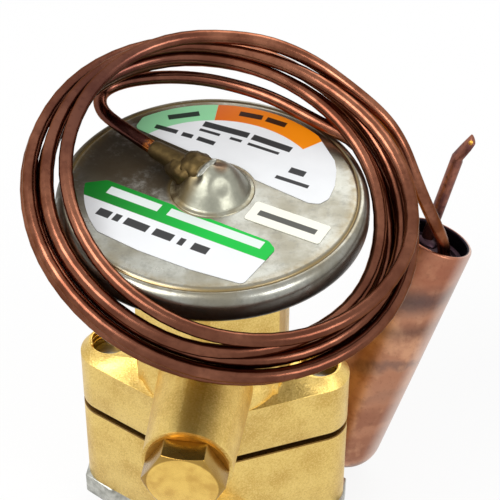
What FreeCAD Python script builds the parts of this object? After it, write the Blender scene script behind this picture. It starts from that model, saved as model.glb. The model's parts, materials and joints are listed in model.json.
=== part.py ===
import FreeCAD, Part
import math
import os

import Sketcher
from FreeCAD import Placement, Rotation, Vector

# Expansion valve with a round steel power head, a coiled capillary and a sensing bulb.
# Origin: centre of the flat base face, on the valve axis. +Z up, ears along X, stem boss towards -Y.
# Lengths are millimetres.

DIMENSIONS = [
    ("base_radius", 14.5),
    ("flange_height", 32.0),
    ("ear_bottom", 10.0),
    ("slit_height", 1.5),
    ("hub_radius", 16.0),
    ("ear_radius", 6.2),
    ("ear_offset", 21.7),
    ("ridge_height", 12.5),
    ("pad_rise", 2.5),
    ("pad_half_width", 4.4),
    ("hub_rise", 5.5),
    ("hub_top_radius", 13.4),
    ("neck_flats", 28.6),
    ("neck_height", 32.5),
    ("spigot_radius", 11.0),
    ("spigot_height", 3.5),
    ("running_gap", 0.05),
    ("free_gap", 0.4),
    ("thread_radius", 4.0),
    ("thread_play", 0.4),
    ("screw_flats", 13.0),
    ("screw_head", 5.3),
    ("screw_reach", 34.5),
    ("inlet_height", 12.5),
    ("inlet_bore", 8.05),
    ("inlet_wall", 2.95),
    ("inlet_reach", 29.0),
    ("inlet_depth", 10.0),
    ("outlet_height", 16.0),
    ("outlet_bore", 11.05),
    ("outlet_wall", 2.55),
    ("outlet_reach", 33.0),
    ("outlet_depth", 12.0),
    ("port_radius", 4.0),
    ("outlet_port_height", 22.8),
    ("cage_floor", 4.5),
    ("cage_bottom", 6.0),
    ("barrel_radius", 8.15),
    ("ring_space_radius", 10.6),
    ("ring_space_bottom", 18.5),
    ("ring_space_top", 28.0),
    ("gasket_radius", 12.0),
    ("gasket_bore", 8.6),
    ("gasket_thickness", 0.5),
    ("gasket_space", 0.2),
    ("cage_flange", 8.5),
    ("cage_bore", 6.2),
    ("cage_step", 19.0),
    ("cage_upper_bore", 5.2),
    ("cage_upper_top", 27.0),
    ("window_radius", 2.2),
    ("cross_hole_radius", 2.0),
    ("cross_hole_height", 23.0),
    ("rod_joint_rise", 0.1),
    ("seat_height", 3.0),
    ("port_bore", 2.58),
    ("rod_radius", 2.0),
    ("pin_neck_radius", 1.4),
    ("pin_wide_radius", 3.2),
    ("pin_tip_radius", 1.6),
    ("pin_cone", 3.8),
    ("pin_cone_drop", 1.6),
    ("pin_head_radius", 4.8),
    ("pin_tip_bevel", 0.4),
    ("pin_shoulder_bevel", 0.6),
    ("pin_head_height", 1.2),
    ("pin_guide", 2.2),
    ("cage_spring_radius", 4.0),
    ("cage_spring_wire", 0.9),
    ("retainer_height", 1.9),
    ("retainer_rise", 0.6),
    ("retainer_bore", 2.6),
    ("rod_seal_height", 1.6),
    ("rod_seal_radius", 3.5),
    ("stem_height", 50.0),
    ("boss_root_radius", 10.1),
    ("boss_end_radius", 8.9),
    ("boss_reach", 32.5),
    ("stem_bore", 4.5),
    ("stem_bore_reach", 19.5),
    ("gland_radius", 6.6),
    ("gland_length", 6.0),
    ("gear_room_radius", 7.6),
    ("gear_room_drop", 6.0),
    ("gear_ledge_rise", 4.75),
    ("spring_room_radius", 8.9),
    ("pinion_near", 5.2),
    ("pinion_far", 7.9),
    ("pinion_root", 2.6),
    ("pinion_outer", 4.4),
    ("tooth_width", 0.7),
    ("pinion_teeth", 8),
    ("crown_teeth", 14),
    ("crown_tooth_drop", 1.75),
    ("crown_inner", 5.6),
    ("crown_outer", 7.2),
    ("crown_rim", 8.6),
    ("crown_rim_height", 2.7),
    ("crown_shank", 4.4),
    ("crown_shank_length", 8.5),
    ("journal_reach", 19.0),
    ("journal_start", 8.5),
    ("ring_groove_reach", 14.0),
    ("ring_groove_width", 1.8),
    ("ring_groove_depth", 1.4),
    ("ring_wire", 0.68),
    ("stem_end_radius", 3.0),
    ("stem_end_reach", 35.5),
    ("stem_square", 4.0),
    ("stem_square_length", 5.0),
    ("cap_gasket_thickness", 0.6),
    ("cap_gasket_radius", 8.2),
    ("cap_flats", 14.3),
    ("cap_head", 4.9),
    ("cap_skirt", 6.0),
    ("cap_bore", 4.2),
    ("cap_bore_reach", 37.0),
    ("cap_face_radius", 6.9),
    ("spring_seat_radius", 7.9),
    ("spring_seat_rise", 10.0),
    ("spring_seat_height", 3.5),
    ("key_width", 2.8),
    ("key_reach", 9.7),
    ("key_play", 0.3),
    ("main_spring_radius", 6.2),
    ("main_spring_wire", 1.8),
    ("main_spring_turns", 5.5),
    ("plate_radius", 17.0),
    ("plate_thickness", 2.5),
    ("plate_gap", 0.3),
    ("diaphragm_height", 87.0),
    ("diaphragm_thickness", 0.3),
    ("diaphragm_radius", 28.4),
    ("clamp_radius", 24.8),
    ("head_radius", 30.0),
    ("head_top", 91.6),
    ("head_wall", 1.4),
    ("cover_wall", 2.2),
    ("curl_inner", 27.6),
    ("curl_lap", 1.0),
    ("cover_foot_radius", 15.2),
    ("cover_foot_inner", 14.2),
    ("cover_edge_radius", 26.6),
    ("cover_edge_drop", 1.2),
    ("cover_lip_radius", 27.2),
    ("cover_play", 0.1),
    ("curl_drop", 6.4),
    ("rim_groove_radius", 27.8),
    ("rim_groove_side", 0.6),
    ("rim_groove_depth", 0.45),
    ("dome_radius", 6.6),
    ("dome_height", 7.0),
    ("dome_spigot", 3.0),
    ("dome_bore", 1.2),
    ("braze_width", 1.9),
    ("braze_height", 1.0),
    ("braze_edge_width", 0.4),
    ("braze_edge_height", 0.35),
    ("socket_height", 3.0),
    ("socket_start_x", -3.7),
    ("socket_start_y", 1.33),
    ("socket_angle", 147.8),
    ("socket_wide", 2.45),
    ("socket_narrow", 1.85),
    ("socket_step", 3.4),
    ("socket_length", 10.6),
    ("tube_radius", 1.35),
    ("label_thickness", 0.12),
    ("equalizer_radius", 5.55),
    ("equalizer_reach", 36.0),
    ("equalizer_flats", 13.0),
    ("equalizer_boss", 7.5),
    ("equalizer_boss_reach", 18.0),
    ("bulb_radius", 8.1),
    ("bulb_wall", 1.0),
    ("bulb_mouth_x", 42.6),
    ("bulb_mouth_y", 32.3),
    ("bulb_mouth_z", 57.0),
    ("bulb_end_x", 26.6),
    ("bulb_end_y", 18.0),
    ("bulb_end_z", 9.5),
    ("bulb_recess", 3.6),
    ("bulb_plug_height", 4.0),
    ("stub_radius", 1.4),
]

doc = FreeCAD.newDocument("expansion_valve")
sheet = doc.addObject("Spreadsheet::Sheet", "Sizes")
for row, (alias, number) in enumerate(DIMENSIONS, start=1):
    sheet.set("A%d" % row, alias.replace("_", " "))
    sheet.set("B%d" % row, str(number))
    sheet.setAlias("B%d" % row, alias)
doc.recompute()


class Size:
    """A cell of the sheet, or a sum worked out from cells, as an expression and as a number."""

    def __init__(self, text, value):
        self.text = text
        self.value = value

    def __add__(self, other):
        return joined(self, "+", other, self.value + number_of(other))

    def __radd__(self, other):
        return self + other

    def __sub__(self, other):
        return joined(self, "-", other, self.value - number_of(other))

    def __rsub__(self, other):
        return joined(other, "-", self, number_of(other) - self.value)

    def __mul__(self, other):
        return joined(self, "*", other, self.value * number_of(other))

    def __rmul__(self, other):
        return self * other

    def __truediv__(self, other):
        return joined(self, "/", other, self.value / number_of(other))

    def __neg__(self):
        return 0 - self


def number_of(value):
    return value.value if isinstance(value, Size) else float(value)


def text_of(value):
    return value.text if isinstance(value, Size) else "%g" % value


def joined(left, sign, right, value):
    return Size("(%s %s %s)" % (text_of(left), sign, text_of(right)), value)


class Sheet:
    """The cells by name, such as dims.hub_radius."""

    def __getattr__(self, alias):
        return Size("Sizes." + alias, float(sheet.get(alias)))


dims = Sheet()


def bind(feature, path, size):
    """Set a property of a feature to a size, as an expression on the sheet."""
    feature.setExpression(path, text_of(size))


# Places that several pieces share.
BLOCK_BOTTOM = dims.flange_height + dims.slit_height
RIDGE_TOP = BLOCK_BOTTOM + dims.ridge_height
PAD_TOP = RIDGE_TOP + dims.pad_rise
NECK_TOP = RIDGE_TOP + dims.neck_height
LOWER_SPACE_BOTTOM = dims.ring_space_top
CAGE_FLANGE_BOTTOM = LOWER_SPACE_BOTTOM + dims.gasket_thickness
CAGE_FLANGE_TOP = CAGE_FLANGE_BOTTOM + dims.cage_flange
UPPER_SPACE_TOP = CAGE_FLANGE_TOP + dims.gasket_thickness
ROD_BOTTOM = UPPER_SPACE_TOP + dims.rod_joint_rise
PLATE_TOP = dims.diaphragm_height - dims.plate_gap
PLATE_BOTTOM = PLATE_TOP - dims.plate_thickness
GEAR_ROOM_BOTTOM = dims.stem_height - dims.gear_room_drop
GEAR_LEDGE = dims.stem_height + dims.gear_ledge_rise
SEAT_BOTTOM = dims.stem_height + dims.spring_seat_rise
SEAT_TOP = SEAT_BOTTOM + dims.spring_seat_height
CAP_GASKET_END = dims.boss_reach + dims.cap_gasket_thickness
SEAT_RING_BOTTOM = dims.cage_step - dims.seat_height
RETAINER_TOP = dims.cage_bottom + dims.retainer_rise + dims.retainer_height
PIN_CONE_TOP = SEAT_RING_BOTTOM - dims.pin_cone_drop + dims.pin_cone
PIN_HEAD_TOP = SEAT_RING_BOTTOM - dims.pin_cone_drop
PIN_HEAD_BOTTOM = PIN_HEAD_TOP - dims.pin_head_height

TOWARDS_FRONT = Rotation(Vector(1, 0, 0), 90)
TOWARDS_BACK = Rotation(Vector(1, 0, 0), -90)
nodes = []


def new_body(label):
    body = doc.addObject("PartDesign::Body", label)
    body.Label = label
    nodes.append(body)
    return body


def plane(body, role):
    return next(item for item in body.Origin.OriginFeatures if item.Role == role)


def new_sketch(body, role, height=0):
    sketch = body.newObject("Sketcher::SketchObject", body.Label + "_sketch")
    sketch.AttachmentSupport = (plane(body, role), [""])
    sketch.MapMode = "FlatFace"
    bind(sketch, "AttachmentOffset.Base.z", height)
    return sketch


def pin_point(sketch, edge, end, place):
    """Fix one end of an edge at a place worked out from the sheet."""
    for kind, axis, size in (("DistanceX", -2, place[0]), ("DistanceY", -1, place[1])):
        if number_of(size) == 0:
            sketch.addConstraint(Sketcher.Constraint("PointOnObject", edge, end, axis))
        else:
            index = sketch.addConstraint(
                Sketcher.Constraint(kind, -1, 1, edge, end, number_of(size)))
            bind(sketch, "Constraints[%d]" % index, size)


def closed_outline(sketch, corners):
    """A closed outline of straight edges through the corners."""
    points = [Vector(number_of(a), number_of(b), 0) for a, b in corners]
    count = len(points)
    for index in range(count):
        sketch.addGeometry(Part.LineSegment(points[index], points[(index + 1) % count]), False)
    for index in range(count):
        sketch.addConstraint(Sketcher.Constraint("Coincident", index, 2, (index + 1) % count, 1))
        pin_point(sketch, index, 1, corners[index])


def spun(body, corners, kind="Revolution"):
    """A ring or shaft spun about the body's Z axis from corners given as radius and height."""
    sketch = new_sketch(body, "XZ_Plane")
    closed_outline(sketch, corners)
    feature = body.newObject("PartDesign::" + kind, body.Label + "_" + kind.lower())
    feature.Profile = sketch
    feature.ReferenceAxis = (sketch, ["V_Axis"])
    feature.Angle = 360
    doc.recompute()
    return body


def turned(label, corners):
    return spun(new_body(label), corners)


def primitive(body, kind, role, place, sizes):
    """A primitive that adds to or cuts the body, at (x, y, distance) from one of its planes."""
    feature = body.newObject("PartDesign::" + kind, body.Label + "_" + kind.lower())
    feature.AttachmentSupport = (plane(body, role), [""])
    feature.MapMode = "FlatFace"
    for axis, size in zip("xyz", place):
        bind(feature, "AttachmentOffset.Base." + axis, size)
    for name, size in sizes.items():
        if isinstance(size, int):
            setattr(feature, name, size)
        else:
            bind(feature, name, size)
    return feature


def drill(body, place, radius, height, role="XY_Plane"):
    return primitive(body, "SubtractiveCylinder", role, place, {"Radius": radius, "Height": height})


def round_bar(body, place, radius, height, role="XY_Plane"):
    return primitive(body, "AdditiveCylinder", role, place, {"Radius": radius, "Height": height})


def hexagon(body, place, flats, height, role="XY_Plane", turn=0):
    """A hexagonal bar, measured across its flats."""
    across = flats / math.sqrt(3)
    bar = primitive(body, "AdditivePrism", role, place, {"Polygon": 6, "Circumradius": across,
                                                       "Height": height})
    bar.AttachmentOffset = Placement(bar.AttachmentOffset.Base, Rotation(Vector(0, 0, 1), turn))
    return bar


def hull_pad(body, height, length, hub, ear):
    """A pad of the plan outline: a hub circle and two ear circles with their tangent lines."""
    sketch = new_sketch(body, "XY_Plane", height)
    hull_outline(sketch, hub, ear)
    pad = body.newObject("PartDesign::Pad", body.Label + "_pad")
    pad.Profile = sketch
    bind(pad, "Length", length)
    doc.recompute()


def hull_outline(sketch, hub, ear):
    hub_r = number_of(hub)
    ear_r = number_of(ear)
    offset = dims.ear_offset.value
    lean = math.acos((hub_r - ear_r) / offset)
    arcs = []
    up = math.radians(90)
    for centre, radius, start, end in ((offset, ear_r, -lean, lean), (0, hub_r, lean, 2 * up - lean),
                                       (-offset, ear_r, 2 * up - lean, 2 * up + lean),
                                       (0, hub_r, 2 * up + lean, 4 * up - lean)):
        circle = Part.Circle(Vector(centre, 0, 0), Vector(0, 0, 1), radius)
        arcs.append(sketch.addGeometry(Part.ArcOfCircle(circle, start, end), False))
    lines = []
    for index in range(4):
        first = sketch.Geometry[arcs[index]].EndPoint
        second = sketch.Geometry[arcs[(index + 1) % 4]].StartPoint
        lines.append(sketch.addGeometry(Part.LineSegment(first, second), False))
    for index in range(4):
        sketch.addConstraint(Sketcher.Constraint("Tangent", arcs[index], 2, lines[index], 1))
        sketch.addConstraint(
            Sketcher.Constraint("Tangent", lines[index], 2, arcs[(index + 1) % 4], 1))
    for index, place in ((0, (dims.ear_offset, 0)), (1, (0, 0)), (2, (-dims.ear_offset, 0)), (3, (0, 0))):
        pin_point(sketch, arcs[index], 3, place)
        row = sketch.addConstraint(
            Sketcher.Constraint("Radius", arcs[index], hub_r if index % 2 else ear_r))
        bind(sketch, "Constraints[%d]" % row, hub if index % 2 else ear)


def lean_body(body, rotation, height):
    """Turn a piece that was made along Z so that it lies along the stem axis."""
    body.Placement = Placement(Vector(0, 0, number_of(height)), rotation)
    bind(body, "Placement.Base.z", height)


def cut_flat_sides(body, start, length, half):
    """Leave a square on the end of a shaft made along Z."""
    for turn in range(4):
        box = primitive(body, "SubtractiveBox", "XY_Plane", (0, 0, 0),
                        {"Length": dims.gland_radius, "Width": dims.gland_radius * 2, "Height": length})
        angle = 90 * turn
        box.AttachmentOffset = Placement(Vector(0, 0, 0), Rotation(Vector(0, 0, 1), angle))
        side = (half, -dims.gland_radius)
        cosine = round(math.cos(math.radians(angle)))
        sine = round(math.sin(math.radians(angle)))
        bind(box, "AttachmentOffset.Base.x", side[0] * cosine - side[1] * sine)
        bind(box, "AttachmentOffset.Base.y", side[0] * sine + side[1] * cosine)
        bind(box, "AttachmentOffset.Base.z", start)


def make_flange_body():
    """Lower casting with ears, inlet and outlet sockets, and the room for the cage."""
    body = new_body("flange_body")
    round_bar(body, (0, 0, 0), dims.base_radius, dims.flange_height)
    hull_pad(body, dims.ear_bottom, dims.flange_height - dims.ear_bottom, dims.hub_radius,
             dims.ear_radius)
    round_bar(body, (0, dims.inlet_height, 0), dims.inlet_bore + dims.inlet_wall, dims.inlet_reach,
              "XZ_Plane")
    round_bar(body, (0, dims.outlet_height, -dims.outlet_reach), dims.outlet_bore + dims.outlet_wall,
              dims.outlet_reach, "XZ_Plane")
    barrel_hole = dims.barrel_radius + dims.running_gap
    drill(body, (0, 0, dims.cage_floor), barrel_hole, dims.flange_height)
    drill(body, (0, 0, dims.ring_space_bottom), dims.ring_space_radius, dims.flange_height)
    drill(body, (0, 0, LOWER_SPACE_BOTTOM), dims.gasket_radius + dims.gasket_space, dims.flange_height)
    drill(body, (0, dims.inlet_height, dims.inlet_reach - dims.inlet_depth), dims.inlet_bore,
          dims.inlet_depth * 2, "XZ_Plane")
    drill(body, (0, dims.inlet_height - dims.window_radius, 0), dims.port_radius, dims.inlet_reach,
          "XZ_Plane")
    drill(body, (0, dims.outlet_height, -dims.outlet_reach - dims.outlet_depth), dims.outlet_bore,
          dims.outlet_depth * 2, "XZ_Plane")
    drill(body, (0, dims.outlet_port_height, -dims.outlet_reach), dims.port_radius, dims.outlet_reach,
          "XZ_Plane")
    for side in (1, -1):
        drill(body, (dims.ear_offset * side, 0, 0), dims.thread_radius + dims.thread_play,
              dims.flange_height * 2)
    return body


def make_upper_body():
    """Upper casting: flange block, hub, hexagonal neck, stem boss and rear boss, with its rooms."""
    body = new_body("upper_body")
    hull_pad(body, BLOCK_BOTTOM, dims.ridge_height, dims.hub_radius, dims.ear_radius)
    lower = new_sketch(body, "XY_Plane", RIDGE_TOP)
    hull_outline(lower, dims.hub_radius, dims.ear_radius)
    upper = new_sketch(body, "XY_Plane", PAD_TOP)
    hull_outline(upper, dims.pad_half_width + dims.thread_play, dims.pad_half_width)
    doc.recompute()
    slope = body.newObject("PartDesign::AdditiveLoft", "ear_slopes")
    slope.Profile = lower
    slope.Sections = [(upper, [""])]
    slope.Ruled = True
    doc.recompute()
    spun(body, [(0, RIDGE_TOP), (dims.hub_radius, RIDGE_TOP), (dims.hub_radius, PAD_TOP),
                (dims.hub_top_radius, PAD_TOP + dims.hub_rise), (0, PAD_TOP + dims.hub_rise)])
    hexagon(body, (0, 0, RIDGE_TOP), dims.neck_flats, dims.neck_height, turn=30)
    round_bar(body, (0, 0, RIDGE_TOP), dims.spigot_radius, dims.neck_height + dims.spigot_height)
    primitive(body, "AdditiveCone", "XZ_Plane", (0, dims.stem_height, 0),
              {"Radius1": dims.boss_root_radius, "Radius2": dims.boss_end_radius,
               "Height": dims.boss_reach})
    round_bar(body, (0, dims.stem_height, -dims.equalizer_boss_reach), dims.equalizer_boss,
              dims.equalizer_boss_reach, "XZ_Plane")
    drill(body, (0, 0, 0), dims.gasket_radius + dims.gasket_space, UPPER_SPACE_TOP)
    drill(body, (0, 0, BLOCK_BOTTOM), dims.rod_radius + dims.running_gap, dims.neck_height)
    seal_bottom = GEAR_ROOM_BOTTOM - dims.rod_seal_height
    drill(body, (0, 0, seal_bottom), dims.rod_seal_radius, dims.rod_seal_height)
    drill(body, (0, 0, GEAR_ROOM_BOTTOM), dims.gear_room_radius, dims.neck_height)
    drill(body, (0, 0, GEAR_LEDGE), dims.spring_room_radius, dims.neck_height)
    primitive(body, "SubtractiveBox", "XY_Plane",
              (0, -dims.key_width / 2 - dims.key_play, GEAR_LEDGE + dims.crown_rim_height),
              {"Length": dims.key_reach + dims.key_play, "Width": dims.key_width + dims.key_play * 2,
               "Height": dims.neck_height})
    drill(body, (0, dims.stem_height, 0), dims.stem_bore, dims.boss_reach * 2, "XZ_Plane")
    drill(body, (0, dims.stem_height, dims.stem_bore_reach), dims.gland_radius, dims.boss_reach, "XZ_Plane")
    drill(body, (0, dims.stem_height, -dims.equalizer_boss_reach * 2), dims.thread_radius,
          dims.equalizer_boss_reach * 2, "XZ_Plane")
    for side in (1, -1):
        drill(body, (dims.ear_offset * side, 0, 0), dims.thread_radius, PAD_TOP + dims.pad_rise)
    return body


def make_screw(label, side):
    """Hexagon screw from below, with its shank in the ear's thread."""
    body = new_body(label)
    hexagon(body, (0, 0, -dims.screw_head), dims.screw_flats, dims.screw_head, turn=30)
    round_bar(body, (0, 0, 0), dims.thread_radius - dims.running_gap, dims.screw_reach)
    bind(body, "Placement.Base.x", dims.ear_offset * side)
    bind(body, "Placement.Base.z", dims.ear_bottom)
    return body


def make_cage():
    """Orifice cage: flange between the gaskets, barrel with windows, and guide for the pin."""
    gap = dims.running_gap
    body = turned("cage_body", [
        (dims.rod_radius + gap, dims.cage_upper_top), (dims.cage_upper_bore, dims.cage_upper_top),
        (dims.cage_upper_bore, dims.cage_step), (dims.cage_bore, dims.cage_step),
        (dims.cage_bore, dims.cage_bottom), (dims.barrel_radius, dims.cage_bottom),
        (dims.barrel_radius, CAGE_FLANGE_BOTTOM), (dims.gasket_radius, CAGE_FLANGE_BOTTOM),
        (dims.gasket_radius, CAGE_FLANGE_TOP), (dims.rod_radius + gap, CAGE_FLANGE_TOP)])
    for role in ("XZ_Plane", "YZ_Plane"):
        drill(body, (0, dims.inlet_height - dims.window_radius, -dims.barrel_radius * 2),
              dims.window_radius, dims.barrel_radius * 4, role)
        drill(body, (0, dims.cross_hole_height, -dims.barrel_radius * 2), dims.cross_hole_radius,
              dims.barrel_radius * 4, role)
    turned("cage_seat", [(dims.port_bore, SEAT_RING_BOTTOM), (dims.cage_bore, SEAT_RING_BOTTOM),
                         (dims.cage_bore, dims.cage_step), (dims.port_bore, dims.cage_step)])
    retainer_bottom = dims.cage_bottom + dims.retainer_rise
    turned("cage_spring_retainer", [
        (dims.retainer_bore, retainer_bottom), (dims.cage_bore - gap, retainer_bottom),
        (dims.cage_bore - gap, RETAINER_TOP), (dims.retainer_bore, RETAINER_TOP)])
    for label, bottom, bore in (("lower_gasket", LOWER_SPACE_BOTTOM, dims.gasket_bore),
                                ("upper_gasket", CAGE_FLANGE_TOP, dims.cage_upper_bore)):
        top = bottom + dims.gasket_thickness
        turned(label, [(bore, bottom), (dims.gasket_radius, bottom), (dims.gasket_radius, top),
                       (bore, top)])
    return body


def make_pin_and_rod():
    """Valve pin below the seat, push rod above it and the diaphragm plate on top."""
    shoulder = dims.cage_step + dims.rod_radius
    turned("valve_pin", [
        (0, PIN_HEAD_BOTTOM - dims.pin_guide), (dims.rod_radius, PIN_HEAD_BOTTOM - dims.pin_guide),
        (dims.rod_radius, PIN_HEAD_BOTTOM), (dims.pin_head_radius, PIN_HEAD_BOTTOM),
        (dims.pin_head_radius, PIN_HEAD_TOP), (dims.pin_wide_radius, PIN_HEAD_TOP),
        (dims.pin_tip_radius, PIN_CONE_TOP), (dims.pin_neck_radius, PIN_CONE_TOP + dims.pin_tip_bevel),
        (dims.pin_neck_radius, shoulder), (dims.rod_radius, shoulder + dims.pin_shoulder_bevel),
        (dims.rod_radius, ROD_BOTTOM), (0, ROD_BOTTOM)])
    turned("push_rod", [(0, ROD_BOTTOM), (dims.rod_radius, ROD_BOTTOM), (dims.rod_radius, PLATE_BOTTOM),
                        (0, PLATE_BOTTOM)])
    turned("diaphragm_plate", [
        (0, PLATE_BOTTOM), (dims.plate_radius, PLATE_BOTTOM),
        (dims.plate_radius, PLATE_TOP), (0, PLATE_TOP)])
    seal_bottom = GEAR_ROOM_BOTTOM - dims.rod_seal_height
    inner = dims.rod_radius + dims.running_gap
    turned("push_rod_seal", [
        (inner, seal_bottom), (dims.rod_seal_radius, seal_bottom),
        (dims.rod_seal_radius, GEAR_ROOM_BOTTOM), (inner, GEAR_ROOM_BOTTOM)])


def make_spring(label, bottom, top, radius, wire, turns):
    """Round wire wound between two seats, with a small gap to each."""
    helix = doc.addObject("Part::Helix", label + "_path")
    travel = top - bottom - wire - dims.running_gap * 2
    bind(helix, "Radius", radius)
    bind(helix, "Height", travel)
    bind(helix, "Pitch", travel / turns)
    bind(helix, "Placement.Base.z", bottom + wire / 2 + dims.running_gap)
    section = doc.addObject("Part::Circle", label + "_section")
    bind(section, "Radius", wire / 2)
    section.Placement = Placement(Vector(0, 0, 0), Rotation(Vector(1, 0, 0), 90))
    bind(section, "Placement.Base.x", radius)
    bind(section, "Placement.Base.z", bottom + wire / 2 + dims.running_gap)
    doc.recompute()
    sweep = doc.addObject("Part::Sweep", label)
    sweep.Label = label
    sweep.Sections = [section]
    sweep.Spine = (helix, ["Edge1"])
    sweep.Solid = True
    sweep.Frenet = True
    nodes.append(sweep)
    return sweep


def make_stem():
    """Adjusting stem with its pinion inside, a ring in its groove and a square outside."""
    gap = dims.running_gap
    journal = dims.stem_bore - gap
    groove_start = dims.ring_groove_reach - dims.ring_groove_width / 2
    groove_end = dims.ring_groove_reach + dims.ring_groove_width / 2
    groove = journal - dims.ring_groove_depth
    body = turned("adjusting_stem", [
        (0, dims.pinion_near), (dims.pinion_root, dims.pinion_near),
        (dims.pinion_root, dims.journal_start), (journal, dims.journal_start),
        (journal, groove_start), (groove, groove_start), (groove, groove_end), (journal, groove_end),
        (journal, dims.journal_reach), (dims.stem_end_radius, dims.journal_reach),
        (dims.stem_end_radius, dims.stem_end_reach), (0, dims.stem_end_reach)])
    tooth = primitive(body, "AdditiveBox", "XY_Plane",
                      (0, -dims.tooth_width / 2, dims.pinion_near),
                      {"Length": dims.pinion_outer, "Width": dims.tooth_width,
                       "Height": dims.pinion_far - dims.pinion_near})
    polar(body, tooth, dims.pinion_teeth)
    cut_flat_sides(body, dims.stem_end_reach - dims.stem_square_length, dims.stem_square_length * 2,
                   dims.stem_square / 2)
    lean_body(body, TOWARDS_FRONT, dims.stem_height)
    ring = doc.addObject("Part::Torus", "stem_seal_ring")
    ring.Label = "stem_seal_ring"
    bind(ring, "Radius1", journal - dims.ring_wire)
    bind(ring, "Radius2", dims.ring_wire)
    ring.Placement = Placement(Vector(0, 0, 0), TOWARDS_FRONT)
    bind(ring, "Placement.Base.y", -dims.ring_groove_reach)
    bind(ring, "Placement.Base.z", dims.stem_height)
    nodes.append(ring)


def polar(body, feature, count):
    """Repeat a feature round the body's Z axis."""
    doc.recompute()
    pattern = body.newObject("PartDesign::PolarPattern", body.Label + "_teeth")
    pattern.Originals = [feature]
    pattern.Axis = (plane(body, "Z_Axis"), [""])
    pattern.Angle = 360
    bind(pattern, "Occurrences", count)
    body.Tip = pattern
    doc.recompute()


def make_crown_gear():
    """Crown gear on the ledge, with a threaded shank that carries the spring seat."""
    bore = dims.rod_radius + dims.free_gap
    bottom = GEAR_LEDGE + dims.running_gap
    top = bottom + dims.crown_rim_height
    body = turned("crown_gear", [
        (bore, bottom), (dims.crown_rim, bottom), (dims.crown_rim, top), (dims.crown_shank, top),
        (dims.crown_shank, top + dims.crown_shank_length), (bore, top + dims.crown_shank_length)])
    tooth = primitive(body, "AdditiveBox", "XY_Plane",
                      (dims.crown_inner, -dims.tooth_width / 2, bottom - dims.crown_tooth_drop),
                      {"Length": dims.crown_outer - dims.crown_inner, "Width": dims.tooth_width,
                       "Height": dims.crown_tooth_drop + dims.running_gap})
    polar(body, tooth, dims.crown_teeth)
    step = 360.0 / dims.crown_teeth.value
    body.Placement = Placement(Vector(0, 0, 0), Rotation(Vector(0, 0, 1), 90 + step / 2))
    seat = turned("spring_seat", [
        (dims.crown_shank + dims.running_gap, SEAT_BOTTOM),
        (dims.spring_seat_radius, SEAT_BOTTOM), (dims.spring_seat_radius, SEAT_TOP),
        (dims.crown_shank + dims.running_gap, SEAT_TOP)])
    key_start = dims.crown_shank + dims.free_gap * 2
    primitive(seat, "AdditiveBox", "XY_Plane", (key_start, -dims.key_width / 2, SEAT_BOTTOM),
              {"Length": dims.key_reach - key_start, "Width": dims.key_width,
               "Height": dims.spring_seat_height})


def make_stem_closure():
    """Gland nut, seal cap and its gasket, all on the stem axis."""
    gap = dims.running_gap
    gland_end = dims.stem_bore_reach + dims.gland_length
    gland = turned("gland_nut", [
        (dims.stem_end_radius + gap, dims.stem_bore_reach), (dims.gland_radius, dims.stem_bore_reach),
        (dims.gland_radius, gland_end), (dims.stem_end_radius + gap, gland_end)])
    lean_body(gland, TOWARDS_FRONT, dims.stem_height)
    gasket = turned("cap_gasket", [
        (dims.gland_radius + gap, dims.boss_reach), (dims.cap_gasket_radius, dims.boss_reach),
        (dims.cap_gasket_radius, CAP_GASKET_END), (dims.gland_radius + gap, CAP_GASKET_END)])
    lean_body(gasket, TOWARDS_FRONT, dims.stem_height)
    cap = new_body("seal_cap")
    skirt = dims.gland_radius - gap
    round_bar(cap, (0, 0, dims.boss_reach - dims.cap_skirt), skirt, dims.cap_skirt + dims.cap_head / 2)
    hexagon(cap, (0, 0, CAP_GASKET_END), dims.cap_flats, dims.cap_head, turn=30)
    cap_end = CAP_GASKET_END + dims.cap_head
    corner = dims.cap_flats / math.sqrt(3)
    spun(cap, [(dims.cap_face_radius, cap_end), (corner + gap, cap_end - (corner - dims.cap_face_radius) / 2),
               (corner + gap, cap_end + gap), (dims.cap_face_radius, cap_end + gap)], "Groove")
    drill(cap, (0, 0, 0), dims.cap_bore, dims.cap_bore_reach)
    lean_body(cap, TOWARDS_FRONT, dims.stem_height)


def make_equalizer():
    """Pressure equalizer connection in the rear boss, with a flare cone and a fine bore."""
    start = dims.equalizer_boss_reach
    end = dims.equalizer_reach
    hex_end = start + dims.retainer_height * 2
    bore = dims.rod_radius
    body = turned("equalizer_fitting", [
        (bore, start - dims.screw_head), (dims.thread_radius, start - dims.screw_head),
        (dims.thread_radius, start), (dims.equalizer_radius, start),
        (dims.equalizer_radius, end - dims.gasket_thickness * 4), (dims.thread_radius, end), (bore, end)])
    hexagon(body, (0, 0, start), dims.equalizer_flats, hex_end - start)
    drill(body, (0, 0, 0), bore, end)
    lean_body(body, TOWARDS_BACK, dims.stem_height)


# The rolled rim: how far in from its side, with the rise from its lower edge or the drop from the top.
CURL_EDGE = ((0.8, 0), (0.2, 0.7), (0, 1.4))
RIM_ROUND = ((0, 3.0), (0.15, 1.9), (0.6, 0.95), (1.2, 0.4), (1.7, 0.25))


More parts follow.
